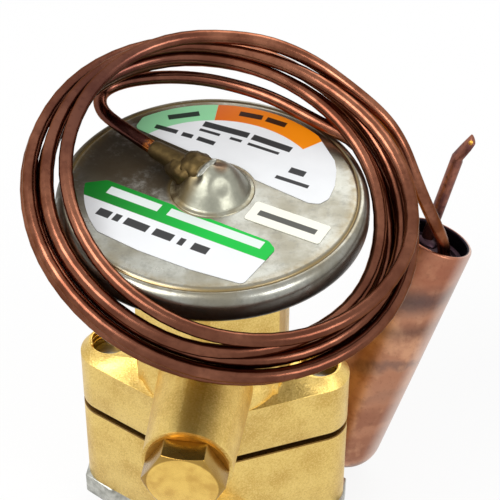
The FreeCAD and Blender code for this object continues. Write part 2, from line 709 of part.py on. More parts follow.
def make_head():
    """Lower cover, diaphragm and upper cover of the power head, with the rolled rim."""
    curl_bottom = dims.head_top - dims.curl_drop
    curl_top = curl_bottom + dims.curl_lap
    inner_bottom = NECK_TOP + dims.cover_wall
    turned("head_lower_cover", [
        (dims.spigot_radius, NECK_TOP), (dims.cover_foot_radius, NECK_TOP),
        (dims.cover_edge_radius, curl_top - dims.cover_edge_drop), (dims.cover_lip_radius, curl_top),
        (dims.diaphragm_radius, curl_top), (dims.diaphragm_radius, dims.diaphragm_height),
        (dims.clamp_radius, dims.diaphragm_height), (dims.cover_foot_inner, inner_bottom),
        (dims.spigot_radius, inner_bottom)])
    turned("diaphragm", [
        (0, dims.diaphragm_height), (dims.diaphragm_radius, dims.diaphragm_height),
        (dims.diaphragm_radius, dims.diaphragm_height + dims.diaphragm_thickness),
        (0, dims.diaphragm_height + dims.diaphragm_thickness)])
    top = dims.head_top
    rim = dims.head_radius
    seat = dims.diaphragm_height + dims.diaphragm_thickness
    inner_top = top - dims.head_wall
    pocket = dims.diaphragm_radius + dims.cover_play
    corners = [(dims.dome_spigot, inner_top), (dims.clamp_radius, inner_top), (dims.clamp_radius, seat),
               (pocket, seat), (pocket, curl_top), (dims.curl_inner, curl_top),
               (dims.curl_inner, curl_bottom)]
    corners += [(rim - inset, curl_bottom + rise) for inset, rise in CURL_EDGE]
    corners += [(rim - inset, top - drop) for inset, drop in RIM_ROUND]
    corners += [(dims.rim_groove_radius, top - dims.rim_groove_depth),
                (dims.rim_groove_radius - dims.rim_groove_side, top), (dims.dome_spigot, top)]
    turned("head_upper_cover", corners)


def socket_place():
    return dims.socket_start_x, dims.socket_start_y, dims.head_top + dims.socket_height


def make_dome():
    """Dome with its spigot in the cover, the braze ring round it and the capillary socket."""
    top = dims.head_top
    radius = dims.dome_radius
    corners = [(dims.dome_bore, top - dims.head_wall), (dims.dome_spigot, top - dims.head_wall),
               (dims.dome_spigot, top), (radius, top), (radius, top + dims.braze_height)]
    rise = dims.dome_height - dims.braze_height
    steps = 7
    for step in range(1, steps):
        angle = math.radians(90.0 * step / steps)
        corners.append((radius * math.cos(angle), top + dims.braze_height + rise * math.sin(angle)))
    corners += [(0, top + dims.dome_height), (0, top + dims.braze_height),
                (dims.dome_bore, top + dims.braze_height)]
    dome = turned("head_dome", corners)
    outer = radius + dims.braze_width
    ring = turned("braze_ring", [
        (radius, top), (outer, top), (outer - dims.braze_edge_width, top + dims.braze_edge_height),
        (radius, top + dims.braze_height)])
    turn = Rotation(Vector(0, 0, 1), dims.socket_angle.value) * Rotation(Vector(0, 1, 0), 90)
    for body in (dome, ring):
        room = primitive(body, "SubtractiveCylinder", "XY_Plane", (0, 0, 0),
                         {"Radius": dims.socket_wide, "Height": dims.socket_length})
        room.AttachmentOffset = Placement(Vector(0, 0, 0), turn)
        for axis, size in zip("xyz", socket_place()):
            bind(room, "AttachmentOffset.Base." + axis, size)
    tube_hole = dims.tube_radius
    socket = turned("capillary_socket", [
        (tube_hole, 0), (dims.socket_wide, 0), (dims.socket_wide, dims.socket_step),
        (dims.socket_narrow, dims.socket_length), (tube_hole, dims.socket_length)])
    socket.Placement = Placement(Vector(0, 0, 0), turn)
    for axis, size in zip("xyz", socket_place()):
        bind(socket, "Placement.Base." + axis, size)


def rounded_face(corners, radius):
    """A flat face with straight edges and rounded corners."""
    edges = []
    count = len(corners)
    starts = []
    ends = []
    mids = []
    for index in range(count):
        before = corners[index - 1]
        here = corners[index]
        after = corners[(index + 1) % count]
        to_before = (before - here).normalize()
        to_after = (after - here).normalize()
        half = to_before.getAngle(to_after) / 2
        cut = min(radius / math.tan(half), (before - here).Length * 0.45, (after - here).Length * 0.45)
        real = cut * math.tan(half)
        middle = (to_before + to_after).normalize()
        centre = here + middle * (real / math.sin(half))
        starts.append(here + to_before * cut)
        ends.append(here + to_after * cut)
        mids.append(centre - middle * real)
    for index in range(count):
        edges.append(Part.Arc(starts[index], mids[index], ends[index]).toShape())
        edges.append(Part.LineSegment(ends[index], starts[(index + 1) % count]).toShape())
    return Part.Face(Part.Wire(edges))


def arc_points(radius, first, last, steps):
    return [Vector(radius * math.cos(math.radians(first + (last - first) * k / steps)),
                   radius * math.sin(math.radians(first + (last - first) * k / steps)), 0)
            for k in range(steps + 1)]


def shape_node(label, shape, placement=None):
    feature = doc.addObject("Part::Feature", label)
    feature.Label = label
    feature.Shape = shape
    if placement:
        feature.Placement = placement
    nodes.append(feature)
    return feature


# Outlines of the three labels on the flat of the head, as real places from its centre.
UPPER_LABEL_ARC = (26.2, 131.0, 47.0)
UPPER_LABEL_CHORD = ((20.3, 14.9), (21.9, 12.1), (22.6, 9.1), (22.8, 4.6), (22.1, 0.6), (20.6, -1.1),
                     (18.4, -1.1), (-18.1, 16.4))
LOWER_LABEL_ARC = (24.3, 184.0, 218.0)
LOWER_LABEL_EDGE = ((-10.8, -19.0), (-0.5, -22.7), (9.6, -25.2), (14.1, -15.1), (12.6, -13.0),
                    (-20.2, -0.3))
BATCH_LABEL = ((15.3, -7.3), 15.6, 5.5, -19.5)
LABEL_CORNER = 1.2
BATCH_CORNER = 0.6
LABEL_STEPS = 18


def make_labels():
    """Three thin labels on the flat of the head."""
    thickness = Vector(0, 0, dims.label_thickness.value)
    room = Part.makeCylinder(dims.dome_radius.value + dims.braze_width.value, thickness.z)
    on_head = Placement(Vector(0, 0, dims.head_top.value), Rotation())
    radius, first, last = UPPER_LABEL_ARC
    corners = [Vector(x, y, 0) for x, y in UPPER_LABEL_CHORD]
    upper = rounded_face(arc_points(radius, last, first, LABEL_STEPS) + corners[::-1], LABEL_CORNER)
    shape_node("upper_label", upper.extrude(thickness).cut(room), on_head)
    radius, first, last = LOWER_LABEL_ARC
    corners = [Vector(x, y, 0) for x, y in LOWER_LABEL_EDGE]
    lower = rounded_face(arc_points(radius, first, last, LABEL_STEPS) + corners, LABEL_CORNER)
    shape_node("lower_label", lower.extrude(thickness).cut(room), on_head)
    (x, y), length, width, turn = BATCH_LABEL
    batch = [Vector(a * length / 2, b * width / 2, 0) for a, b in ((-1, -1), (1, -1), (1, 1), (-1, 1))]
    place = Placement(Vector(x, y, dims.head_top.value), Rotation(Vector(0, 0, 1), turn))
    shape_node("batch_label", rounded_face(batch, BATCH_CORNER).extrude(thickness), place)


def axis_rotation(direction):
    return Rotation(Vector(0, 0, 1), direction)


def make_bulb():
    """Sensing bulb: a drawn tube with a round end, a recessed plug and a pinched charging stub."""
    mouth = Vector(dims.bulb_mouth_x.value, dims.bulb_mouth_y.value, dims.bulb_mouth_z.value)
    end = Vector(dims.bulb_end_x.value, dims.bulb_end_y.value, dims.bulb_end_z.value)
    length = (mouth - end).Length
    turn = axis_rotation(mouth - end)
    radius = dims.bulb_radius
    inner = radius - dims.bulb_wall
    corners = []
    steps = 6
    for step in range(steps + 1):
        angle = math.radians(-90.0 + 90.0 * step / steps)
        side = 0 if step == 0 else radius * math.cos(angle)
        corners.append((side, -radius if step == 0 else radius * math.sin(angle)))
    corners[-1] = (radius, 0)
    corners += [(radius, length), (inner, length), (inner, 0)]
    for step in range(1, steps + 1):
        angle = math.radians(-90.0 * step / steps)
        side = 0 if step == steps else inner * math.cos(angle)
        corners.append((side, -inner if step == steps else inner * math.sin(angle)))
    plug_top = length - dims.bulb_recess
    plug_bottom = plug_top - dims.bulb_plug_height
    shell = turned("bulb_shell", corners)
    plug = turned("bulb_end_plug", [(0, plug_bottom), (inner, plug_bottom), (inner, plug_top),
                                    (0, plug_top)])
    for body in (shell, plug):
        body.Placement = Placement(end, turn)
        for axis, size in zip("xyz", (dims.bulb_end_x, dims.bulb_end_y, dims.bulb_end_z)):
            bind(body, "Placement.Base." + axis, size)
    doc.recompute()
    plug_face = end + (mouth - end).normalize() * plug_top.value
    path = [plug_face + Vector(*STUB_FOOT), Vector(*STUB_BEND), Vector(*STUB_TOP)]
    stub = swept_round(path, dims.stub_radius.value)
    along = (path[2] - path[1]).normalize()
    flat = Part.makeBox(2 * STUB_FLAT[0], 2 * STUB_FLAT[1], STUB_FLAT[2])
    flat.translate(Vector(-STUB_FLAT[0], -STUB_FLAT[1], -STUB_LAP))
    flat.Placement = Placement(path[2], axis_rotation(along)).multiply(flat.Placement)
    shape_node("charging_stub", stub.fuse(flat))
    return plug_face


# The charging stub stands in the plug behind the capillary and ends in a pinched flat tip.
STUB_FOOT = (-1.2, 3.9, 0.05)
STUB_BEND = (44.6, 38.2, 68.0)
STUB_TOP = (46.0, 39.0, 74.6)
STUB_FLAT = (1.9, 0.8, 5.6)
STUB_LAP = 0.84

# The capillary: the lead from its socket, the coil, and the lead to the bulb.
TUBE_START = [(-22.0, 13.8, 3.1), (-25.4, 17.7, 3.3), (-25.9, 22.1, 3.8), (-21.9, 25.2, 4.5), (-14.9, 27.1, 5.0),
              (-7.0, 28.1, 4.8), (1.1, 27.3, 4.2), (8.6, 25.3, 3.5), (16.8, 20.7, 2.7), (28.2, 17.2, 0.0)]
TUBE_END = [(14.2, 29.5, 13.8), (23.2, 29.0, 8.0), (29.8, 26.7, 2.6), (33.8, 24.9, -3.0), (37.1, 23.0, -9.0),
            (40.0, 21.5, -15.2), (42.2, 22.1, -21.6)]
TUBE_EXIT = (44.4, 28.0, 5.0)
TUBE_FOOT = (44.5, 29.2, 0.45)
COIL_CENTRE = (1.6, 0.3, -3.5)
COIL_RADIUS = 36.6
COIL_TILT = 17.0
COIL_ROLL = 11.0
STRAND_PITCH = 2.95
COIL_START = 0.25
COIL_END = 6.0
POINTS_PER_TURN = 12
CORE_END = 3.75
CORE_CENTRE = (0.42, 0.5)
CORE_RADIUS = 0.7072
CORE_TWIST = 14.25
# Where the last turns lie in the bundle: turn, strands inwards, strands up.
OUTER_TURNS = [(3.75, 1.02, 0.92), (3.875, 1.2, 1.25), (4.0, 1.75, 1.62), (4.25, 1.5, 1.95), (4.375, 0.6, 2.15),
               (4.5, 0.15, 2.1), (4.66, 0.6, 2.1), (4.75, 1.1, 2.2), (4.875, 1.05, 2.28), (5.0, 1.05, 2.2),
               (5.25, 0.1, 2.9), (5.375, 0.9, 3.2), (5.5, 0.9, 3.0), (5.66, 1.6, 3.0), (5.75, 2.1, 3.0),
               (5.833, 1.9, 3.25), (5.875, 1.5, 3.5), (6.0, 0.9, 3.8)]


def strand_place(turn):
    """How far inwards and upwards the strand lies in the bundle at this turn."""
    if turn <= CORE_END:
        angle = math.radians(CORE_TWIST - 90.0 * turn)
        return (CORE_CENTRE[0] + CORE_RADIUS * math.cos(angle),
                CORE_CENTRE[1] + CORE_RADIUS * math.sin(angle))
    for (turn_a, in_a, up_a), (turn_b, in_b, up_b) in zip(OUTER_TURNS, OUTER_TURNS[1:]):
        if turn <= turn_b:
            blend = (1 - math.cos(math.pi * (turn - turn_a) / (turn_b - turn_a))) / 2
            return in_a + (in_b - in_a) * blend, up_a + (up_b - up_a) * blend
    return OUTER_TURNS[-1][1:]


def coil_point(turn):
    """A corner of the coil's route, which stands outside the round that the tube follows."""
    inwards, upwards = strand_place(turn)
    tilt = math.radians(COIL_TILT)
    roll = math.radians(COIL_ROLL)
    across = Vector(math.cos(roll), 0, -math.sin(roll))
    along = Vector(0, math.cos(tilt), math.sin(tilt))
    upward = across.cross(along).normalize()
    angle = math.radians(90 - 360 * turn)
    radius = (COIL_RADIUS - STRAND_PITCH * inwards) / math.cos(math.pi / POINTS_PER_TURN)
    centre = Vector(COIL_CENTRE[0], COIL_CENTRE[1], dims.head_top.value + COIL_CENTRE[2])
    return (centre + across * (radius * math.cos(angle)) + along * (radius * math.sin(angle))
            + upward * (STRAND_PITCH * upwards))


def capillary_route(plug_face):
    top = dims.head_top.value
    angle = math.radians(dims.socket_angle.value)
    reach = dims.socket_length.value
    mouth = Vector(dims.socket_start_x.value + reach * math.cos(angle),
                   dims.socket_start_y.value + reach * math.sin(angle), top + dims.socket_height.value)
    route = [mouth]
    route += [Vector(x, y, top + z) for x, y, z in TUBE_START]
    count = int(round((COIL_END - COIL_START) * POINTS_PER_TURN))
    for index in range(count + 1):
        route.append(coil_point(COIL_START + (COIL_END - COIL_START) * index / count))
    route += [Vector(x, y, top + z) for x, y, z in TUBE_END]
    route += [Vector(x, y, plug_face.z + z) for x, y, z in (TUBE_EXIT, TUBE_FOOT)]
    return route


# Share of the shorter run that an arc of a swept route takes, and how far its volume may stray.
ARC_SHARE = 0.45
VOLUME_SLACK = 0.02


def swept_round(route, radius, report=None):
    """A round tube or bar along straight runs joined by tangent arcs."""
    edges = []
    start = route[0]
    for before, here, after in zip(route, route[1:], route[2:]):
        to_before = (before - here).normalize()
        to_after = (after - here).normalize()
        half = to_before.getAngle(to_after) / 2
        cut = ARC_SHARE * min((before - here).Length, (after - here).Length)
        bend = cut * math.tan(half)
        if report is not None:
            report.append(bend)
        middle = (to_before + to_after).normalize()
        centre = here + middle * (bend / math.sin(half))
        first = here + to_before * cut
        last = here + to_after * cut
        edges.append(Part.LineSegment(start, first).toShape())
        edges.append(Part.Arc(first, centre - middle * bend, last).toShape())
        start = last
    edges.append(Part.LineSegment(start, route[-1]).toShape())
    path = Part.Wire(edges)
    section = Part.Wire([Part.makeCircle(radius, route[0], route[1] - route[0])])
    tube = path.makePipeShell([section], True, False)
    full = math.pi * radius * radius * path.Length
    if abs(tube.Volume - full) > VOLUME_SLACK * full:
        raise RuntimeError("the swept volume does not match its length")
    if report is not None:
        print("length of the capillary %.1f mm" % path.Length)
    return tube


def make_capillary(plug_face):
    """Stiff copper capillary, wound into a loose coil round the head and let into the bulb."""
    bends = []
    tube = swept_round(capillary_route(plug_face), dims.tube_radius.value, bends)
    print("bend radii", " ".join("%.1f" % bend for bend in bends))
    shape_node("capillary_tube", tube)


def check_and_write():
    """Stop on any failed object or bad shape, then write each piece."""
    doc.recompute()
    for item in doc.Objects:
        if "Invalid" in item.State or "Error" in item.State:
            raise RuntimeError("%s failed" % item.Label)
    for item in nodes:
        shape = item.Shape
        if shape.isNull() or not shape.isValid() or not shape.Solids:
            raise RuntimeError("%s has no good shape" % item.Label)
    os.makedirs("parts", exist_ok=True)
    for item in nodes:
        item.Shape.exportStep("parts/%s.step" % item.Label)
        print("%-22s solids %d volume %9.1f" % (item.Label, len(item.Shape.Solids), item.Shape.Volume))


make_flange_body()
make_upper_body()
make_screw("flange_screw_left", -1)
make_screw("flange_screw_right", 1)
make_cage()
make_pin_and_rod()
make_spring("cage_spring", RETAINER_TOP, PIN_HEAD_BOTTOM, dims.cage_spring_radius, dims.cage_spring_wire, 3)
make_spring("superheat_spring", SEAT_TOP, PLATE_BOTTOM, dims.main_spring_radius, dims.main_spring_wire,
            dims.main_spring_turns)
make_stem()
make_crown_gear()
make_stem_closure()
make_equalizer()
make_head()
make_dome()
make_labels()
make_capillary(make_bulb())
check_and_write()
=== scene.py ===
import json
import math

import bpy
from mathutils import Matrix, Vector

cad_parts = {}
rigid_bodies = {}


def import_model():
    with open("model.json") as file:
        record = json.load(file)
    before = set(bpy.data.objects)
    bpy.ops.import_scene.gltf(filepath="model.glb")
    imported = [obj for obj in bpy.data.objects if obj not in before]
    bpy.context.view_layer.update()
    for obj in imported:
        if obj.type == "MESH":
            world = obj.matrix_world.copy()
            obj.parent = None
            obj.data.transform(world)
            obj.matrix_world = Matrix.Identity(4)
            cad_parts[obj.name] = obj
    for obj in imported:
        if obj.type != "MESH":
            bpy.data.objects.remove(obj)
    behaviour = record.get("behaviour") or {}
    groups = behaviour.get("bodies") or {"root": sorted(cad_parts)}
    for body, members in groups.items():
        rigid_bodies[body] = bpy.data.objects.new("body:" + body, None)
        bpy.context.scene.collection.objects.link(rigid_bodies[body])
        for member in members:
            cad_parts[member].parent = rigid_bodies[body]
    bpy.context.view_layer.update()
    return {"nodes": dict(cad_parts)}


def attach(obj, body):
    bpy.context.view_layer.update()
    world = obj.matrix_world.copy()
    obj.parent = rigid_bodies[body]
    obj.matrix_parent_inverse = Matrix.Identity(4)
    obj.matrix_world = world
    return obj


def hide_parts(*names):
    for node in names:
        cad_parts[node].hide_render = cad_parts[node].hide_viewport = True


bl_info = {
    "name": "Expansion valve",
    "version": (1, 0, 0),
    "blender": (4, 5, 0),
    "location": "3D View > Sidebar > Valve",
    "description": "Dresses the solid model of an expansion valve with its finishes and fine forms",
    "category": "Object",
}

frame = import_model()
MM = 0.001
# Points nearer to one another than this are merged.
WELD = 0.002 * MM

# Heights and radii of the valve in millimetres, as its solids have them.
HEAD_TOP = 91.6
UNDER_COVER_FOOT = 78.5
STEM_HEIGHT = 50.0
SLIT_MIDDLE = 32.6
CAP_FACE = 6.95
SOCKET_START = Vector((-3.7, 1.33, 94.6))
SOCKET_TURN = math.radians(147.8)
SOCKET_SIDE = Vector((math.cos(SOCKET_TURN), math.sin(SOCKET_TURN), 0))
SOCKET_LENGTH = 10.6
BULB_END = Vector((26.6, 18.0, 9.5))
BULB_MOUTH = Vector((42.6, 32.3, 57.0))
BULB_RADIUS = 8.1
BULB_RECESS = 3.6
EAR_OFFSET = 21.7
STUB_FOOT = Vector((40.3, 35.2, 53.0))
STUB_NECK = Vector((45.2, 39.0, 73.4))


# Finishes


def tone(code):
    """A colour written as six hexadecimal digits, as the linear values that sockets hold."""
    parts = [int(code[index:index + 2], 16) / 255 for index in (0, 2, 4)]
    return tuple(p / 12.92 if p < 0.04045 else ((p + 0.055) / 1.055) ** 2.4 for p in parts)


def shaded(colour, *shares):
    """A colour times one share, or its red, green and blue each times their own."""
    if len(shares) == 1:
        shares = shares * 3
    return [part * share for part, share in zip(colour, shares)]


class Value:
    """A socket of a node, on which sums are written as plain expressions."""

    def __init__(self, nodes, socket):
        self.nodes = nodes
        self.socket = socket

    def worked(self, operation, first, second=0.0):
        return self.nodes.node("ShaderNodeMath", {"operation": operation}, {0: first, 1: second})

    def __add__(self, other):
        return self.worked("ADD", self, other)

    def __sub__(self, other):
        return self.worked("SUBTRACT", self, other)

    def __rsub__(self, other):
        return self.worked("SUBTRACT", other, self)

    def __mul__(self, other):
        return self.worked("MULTIPLY", self, other)

    def __truediv__(self, other):
        return self.worked("DIVIDE", self, other)

    def __pow__(self, other):
        return self.worked("POWER", self, other)

    __radd__ = __add__
    __rmul__ = __mul__

    def size(self):
        return self.worked("ABSOLUTE", self)

    def least(self, other):
        return self.worked("MINIMUM", self, other)

    def most(self, other):
        return self.worked("MAXIMUM", self, other)

    def above(self, edge, soft):
        """1 where the value is above the edge and 0 below it, with a soft step between."""
        return self.nodes.node(
            "ShaderNodeMapRange", {"interpolation_type": "SMOOTHSTEP"},
            {0: self, 1: edge - soft / 2, 2: edge + soft / 2, 3: 0.0, 4: 1.0})

    def below(self, edge, soft):
        return 1 - self.above(edge, soft)


class Nodes:
    """The nodes of a finish or of the backdrop, made by calls."""

    def __init__(self, tree):
        self.tree = tree

    def node(self, kind, settings=None, inputs=None, output=0):
        made = self.tree.nodes.new(kind)
        for name, value in (settings or {}).items():
            setattr(made, name, value)
        for name, value in (inputs or {}).items():
            if isinstance(value, Value):
                self.tree.links.new(value.socket, made.inputs[name])
            else:
                made.inputs[name].default_value = value
        return Value(self, made.outputs[output])

    def seen(self):
        """1 for rays from the camera, also mirrored ones, and 0 for rays that only light."""
        camera, glossy, through = (
            self.node("ShaderNodeLightPath", output=f"Is {name} Ray")
            for name in ("Camera", "Glossy", "Transmission"))
        return camera.most(glossy).most(through)

    def close(self, output, surface):
        self.tree.links.new(surface.socket, self.tree.nodes[output].inputs[0])


class Finish(Nodes):
    """A material that starts from constants and is fed with what varies over it."""

    def __init__(self, name, metallic=0.0, roughness=0.5, level=0.5, edge=(1.0, 1.0, 1.0)):
        self.material = bpy.data.materials.new(name)
        self.material.use_nodes = True
        super().__init__(self.material.node_tree)
        self.shader = self.tree.nodes["Principled BSDF"]
        constants = {"Metallic": metallic, "Roughness": roughness, "Specular IOR Level": level,
                     "Specular Tint": (*edge, 1.0)}
        for socket, value in constants.items():
            self.shader.inputs[socket].default_value = value
        self.place = self.node("ShaderNodeTexCoord", output="Object")

    def feed(self, name, value):
        self.tree.links.new(value.socket, self.shader.inputs[name])

    def vector(self, operation, first, second, output=0):
        inputs = {0: first, 1: second}
        return self.node("ShaderNodeVectorMath", {"operation": operation}, inputs, output)

    def dot(self, first, second):
        return self.vector("DOT_PRODUCT", first, second, 1)

    def mixed(self, factor, first, second):
        first = first if isinstance(first, Value) else tuple(first) + (1.0,)
        second = second if isinstance(second, Value) else tuple(second) + (1.0,)
        inputs = {0: factor, 6: first, 7: second}
        return self.node("ShaderNodeMix", {"data_type": "RGBA"}, inputs, 2)

    def layered(self, colour, *layers):
        """A colour with others laid over it in turn, each through its own mask."""
        for mask, over in layers:
            colour = self.mixed(mask, colour, over)
        return colour

    def noise(self, size, detail=2.0, rough=0.5, stretch=None):
        """Cloudy noise whose patches are about this many millimetres across."""
        place = self.vector("MULTIPLY", self.place, stretch) if stretch else self.place
        inputs = {"Vector": place, "Scale": 1 / (size * MM), "Detail": detail, "Roughness": rough}
        return self.node("ShaderNodeTexNoise", None, inputs)

    def stripes(self, value, scale, detail, rough=0.5):
        """Noise that changes along one value only."""
        inputs = {"W": value, "Scale": scale, "Detail": detail, "Roughness": rough}
        return self.node("ShaderNodeTexNoise", {"noise_dimensions": "1D"}, inputs)

    def bump(self, height, depth, strength=1.0, normal=None):
        inputs = {"Height": height, "Distance": depth * MM, "Strength": strength}
        if normal:
            inputs["Normal"] = normal
        return self.node("ShaderNodeBump", None, inputs)

    def axis_split(self, centre=(0, 0, 0)):
        """Distance in millimetres from a centre along the three axes."""
        moved = self.vector("SUBTRACT", self.place, [c * MM for c in centre])
        scaled = self.vector("MULTIPLY", moved, (1 / MM,) * 3)
        return [self.node("ShaderNodeSeparateXYZ", None, {0: scaled}, index) for index in range(3)]

    def bar(self, start, end, height, soft=0.12):
        """1 inside a straight bar on a flat label, from start to end, both in millimetres."""
        start = Vector(start + (0,))
        run = Vector(end + (0,)) - start
        along = run.normalized()
        offset = self.vector("SUBTRACT", self.place, start * MM)
        far = self.dot(offset, along / MM)
        side = self.dot(offset, Vector((-along.y, along.x, 0)) / MM)
        inside = far.above(0.0, soft) * far.below(run.length, soft)
        return inside * side.size().below(height / 2, soft)

    def bars(self, rows, height):
        mask = self.bar(*rows[0], height)
        for row in rows[1:]:
            mask = mask.most(self.bar(*row, height))
        return mask


def cast_brass(settings):
    """Forged brass with a fine blasted grain."""
    made = Finish("cast_brass", 1.0, 0.42)
    grain = made.noise(0.36, 3.0, 0.65)
    patches = made.noise(8.0, 4.0, 0.6)
    x, y, z = made.axis_split((0, 0, STEM_HEIGHT))
    light = settings.brass
    deep = shaded(light, 0.62, 0.5, 0.3)
    pale = [min(1.0, part) for part in shaded(light, 1.08, 1.12, 1.4)]
    # A flat runs along the crest of the front boss, and it gets a painted dark reflection.
    crest = x.size().below(1.9, 0.3) * y.below(-14.0, 2.0) * z.above(7.0, 1.0)
    # Painted shade of the slit darkens the castings on both sides of it.
    slit_shade = (z + STEM_HEIGHT - SLIT_MIDDLE).size().below(1.0, 0.16)
    made.feed("Base Color", made.layered(
        light,
        (patches.above(0.52, 0.4) * 0.6, deep),
        (grain.below(0.42, 0.2) * 0.35, shaded(light, 0.5, 0.36, 0.16)),
        (grain.above(0.58, 0.16) * 0.6, pale),
        # painted dark reflection along the flat on the boss's crest
        (crest * 0.5, deep),
        # painted shade beside the slit between the castings
        (slit_shade * 0.85, shaded(light, 0.16, 0.08, 0.02))))
    made.feed("Roughness", grain * 0.2 + patches * 0.12 + 0.22)
    made.feed("Normal", made.bump(grain + made.noise(2.4, 2.0) * 0.6, 0.1, 0.8))
    return made.material


def turned_brass(settings, name="turned_brass", flat_shade=0.0):
    """Machined brass with fine turning marks, with painted shade on the hexagon's flats outside the
    cap's face, as strong as the given share.
    """
    made = Finish(name, 1.0, 0.3)
    x, y, z = made.axis_split((0, 0, STEM_HEIGHT))
    marks = made.stripes(y * 4.0, 3.0, 2.0)
    patches = made.noise(3.0, 3.0)
    light = [min(1.0, part) for part in shaded(settings.brass, 1.04, 0.96, 0.8)]
    deep = shaded(settings.brass, 0.6, 0.44, 0.28)
    colour = made.mixed(patches.above(0.55, 0.4) * 0.6, light, deep)
    if flat_shade:
        # Painted shade on the flats of the hexagon, outside the cap's round face.
        flats_in_shade = ((x * x + z * z) ** 0.5).above(CAP_FACE, 0.3)
        colour = made.mixed(flats_in_shade * flat_shade, colour, shaded(deep, 0.5))
    made.feed("Base Color", colour)
    made.feed("Roughness", patches * 0.2 + 0.16)
    made.feed("Normal", made.bump(marks, 0.03, 0.4))
    return made.material


def dark_brass(settings):
    """Brass inside the valve, dull and unlit."""
    made = Finish("dark_brass", 1.0, 0.38)
    patches = made.noise(1.6, 3.0)
    brass = settings.brass
    made.feed("Base Color", made.mixed(patches, shaded(brass, 0.7), shaded(brass, 0.4, 0.3, 0.2)))
    made.feed("Roughness", patches * 0.25 + 0.28)
    return made.material


def steel(name, light, deep, rough, size):
    """Plain or plated steel with a slight mottle."""
    made = Finish(name, 1.0, rough)
    patches = made.noise(size, 4.0, 0.6)
    made.feed("Base Color", made.mixed(patches.above(0.5, 0.4), light, deep))
    made.feed("Roughness", patches * 0.22 + (rough - 0.1))
    made.feed("Normal", made.bump(made.noise(size * 0.2, 3.0), 0.02, 0.5))
    return made.material


def towards_socket(x, y):
    """How far a place on the head lies on the socket's side."""
    return x * SOCKET_SIDE.x + y * SOCKET_SIDE.y


def cover_steel(settings):
    """Welded cover: dull steel, heat tint in the groove, oxide on the socket's side and painted shade
    under the rim.
    """
    made = Finish("cover_steel", 1.0, 0.34)
    x, y, z = made.axis_split((0, 0, HEAD_TOP))
    radius = (x * x + y * y) ** 0.5
    cloud = made.noise(9.0, 5.0, 0.62)
    fine = made.noise(1.3, 4.0, 0.65)
    scratches = made.noise(1.1, 3.0, 0.6, stretch=(0.16, 1.0, 1.0))
    light = settings.steel
    # Oxide lies on the socket's side of the head and fades towards the front.
    reach = towards_socket(x, y)
    side = (x * SOCKET_SIDE.y - y * SOCKET_SIDE.x).size()
    patchy = (cloud * 0.9 + fine * 0.55).above(0.54, 0.4)
    oxide = reach.above(4.0, 9.0) * side.below(15.0, 14.0) * patchy
    rear_edge = reach.above(17.0, 8.0) * fine.above(0.36, 0.25) * 0.75
    oxide = oxide.most(rear_edge) * z.above(-4.5, 2.0)
    # Heat tint lies in the rim's groove, beside it and round the dome.
    groove = (radius - 27.75).size().below(0.35, 0.7) * z.above(-2.0, 1.0)
    halo = (radius - 27.4).size().below(1.2, 2.4) * fine.above(0.45, 0.4) * 0.5
    ring = (radius - 7.9).size().below(0.5, 1.4) * reach.above(-4.0, 8.0) * 0.85
    made.feed("Base Color", made.layered(
        light,
        (cloud.above(0.5, 0.3) * 0.8, shaded(light, 0.6, 0.55, 0.45)),
        (fine.above(0.58, 0.2) * 0.35, shaded(light, 0.45)),
        (oxide * 0.86, settings.oxide),
        (groove.most(halo * z.above(-1.5, 1.0)) * 0.8, settings.straw),
        (ring * z.above(-0.5, 0.4), settings.straw),
        # painted shade on the underside of the rolled rim
        (z.below(-4.2, 2.2) * 0.75, shaded(light, 0.3))))
    made.feed("Roughness", cloud * 0.2 + oxide * 0.3 + fine * 0.1 + 0.16)
    swell = made.bump(made.noise(11.0, 2.0), 0.35, 0.35)
    made.feed("Normal", made.bump(fine * 0.6 + scratches * 0.5, 0.05, 0.5, swell))
    return made.material


def dome_steel(settings):
    """Dome with straw and oxide on the socket's side and a brown tint beside its fold."""
    made = Finish("dome_steel", 1.0, 0.4)
    x, y, z = made.axis_split((0, 0, HEAD_TOP))
    cloud = made.noise(2.6, 4.0, 0.6)
    reach = towards_socket(x, y)
    light = shaded(settings.steel, 1.02, 1.02, 0.92)
    stain = reach.above(0.4, 3.0) * (cloud * 0.7 + 0.5).least(1.0)
    foot = z.below(0.4, 0.5) * cloud.above(0.5, 0.3) * 0.5
    right = x - 1.5
    back = y - 0.4
    tint = (right * right + back * back * 0.5).below(1.8, 3.2) * z.above(4.2, 1.2)
    made.feed("Base Color", made.layered(
        light,
        (cloud.above(0.5, 0.4) * 0.6, shaded(light, 0.6)),
        (stain.most(foot) * 0.8, settings.straw),
        (reach.above(2.4, 2.4) * cloud.above(0.42, 0.3) * 0.8, settings.oxide),
        (tint * 0.8, tone("5c3c1c"))))
    made.feed("Roughness", cloud * 0.22 + reach.above(1.0, 4.0) * 0.14 + 0.26)
    made.feed("Normal", made.bump(made.noise(1.4, 4.0), 0.09, 0.6))
    return made.material


def copper(name, light, deep, dark, rough=0.3):
    """Annealed copper tube that has darkened in patches."""
    made = Finish(name, 1.0, rough)
    patches = made.noise(6.0, 4.0, 0.62)
    spots = made.noise(0.9, 3.0, 0.6)
    colour = made.mixed(patches.above(0.5, 0.4), light, deep)
    colour = made.mixed(spots.above(0.62, 0.2) * 0.6, colour, dark)
    made.feed("Base Color", colour)
    made.feed("Roughness", patches * 0.24 + spots * 0.12 + (rough - 0.14))
    made.feed("Normal", made.bump(spots, 0.02, 0.4))
    return made.material


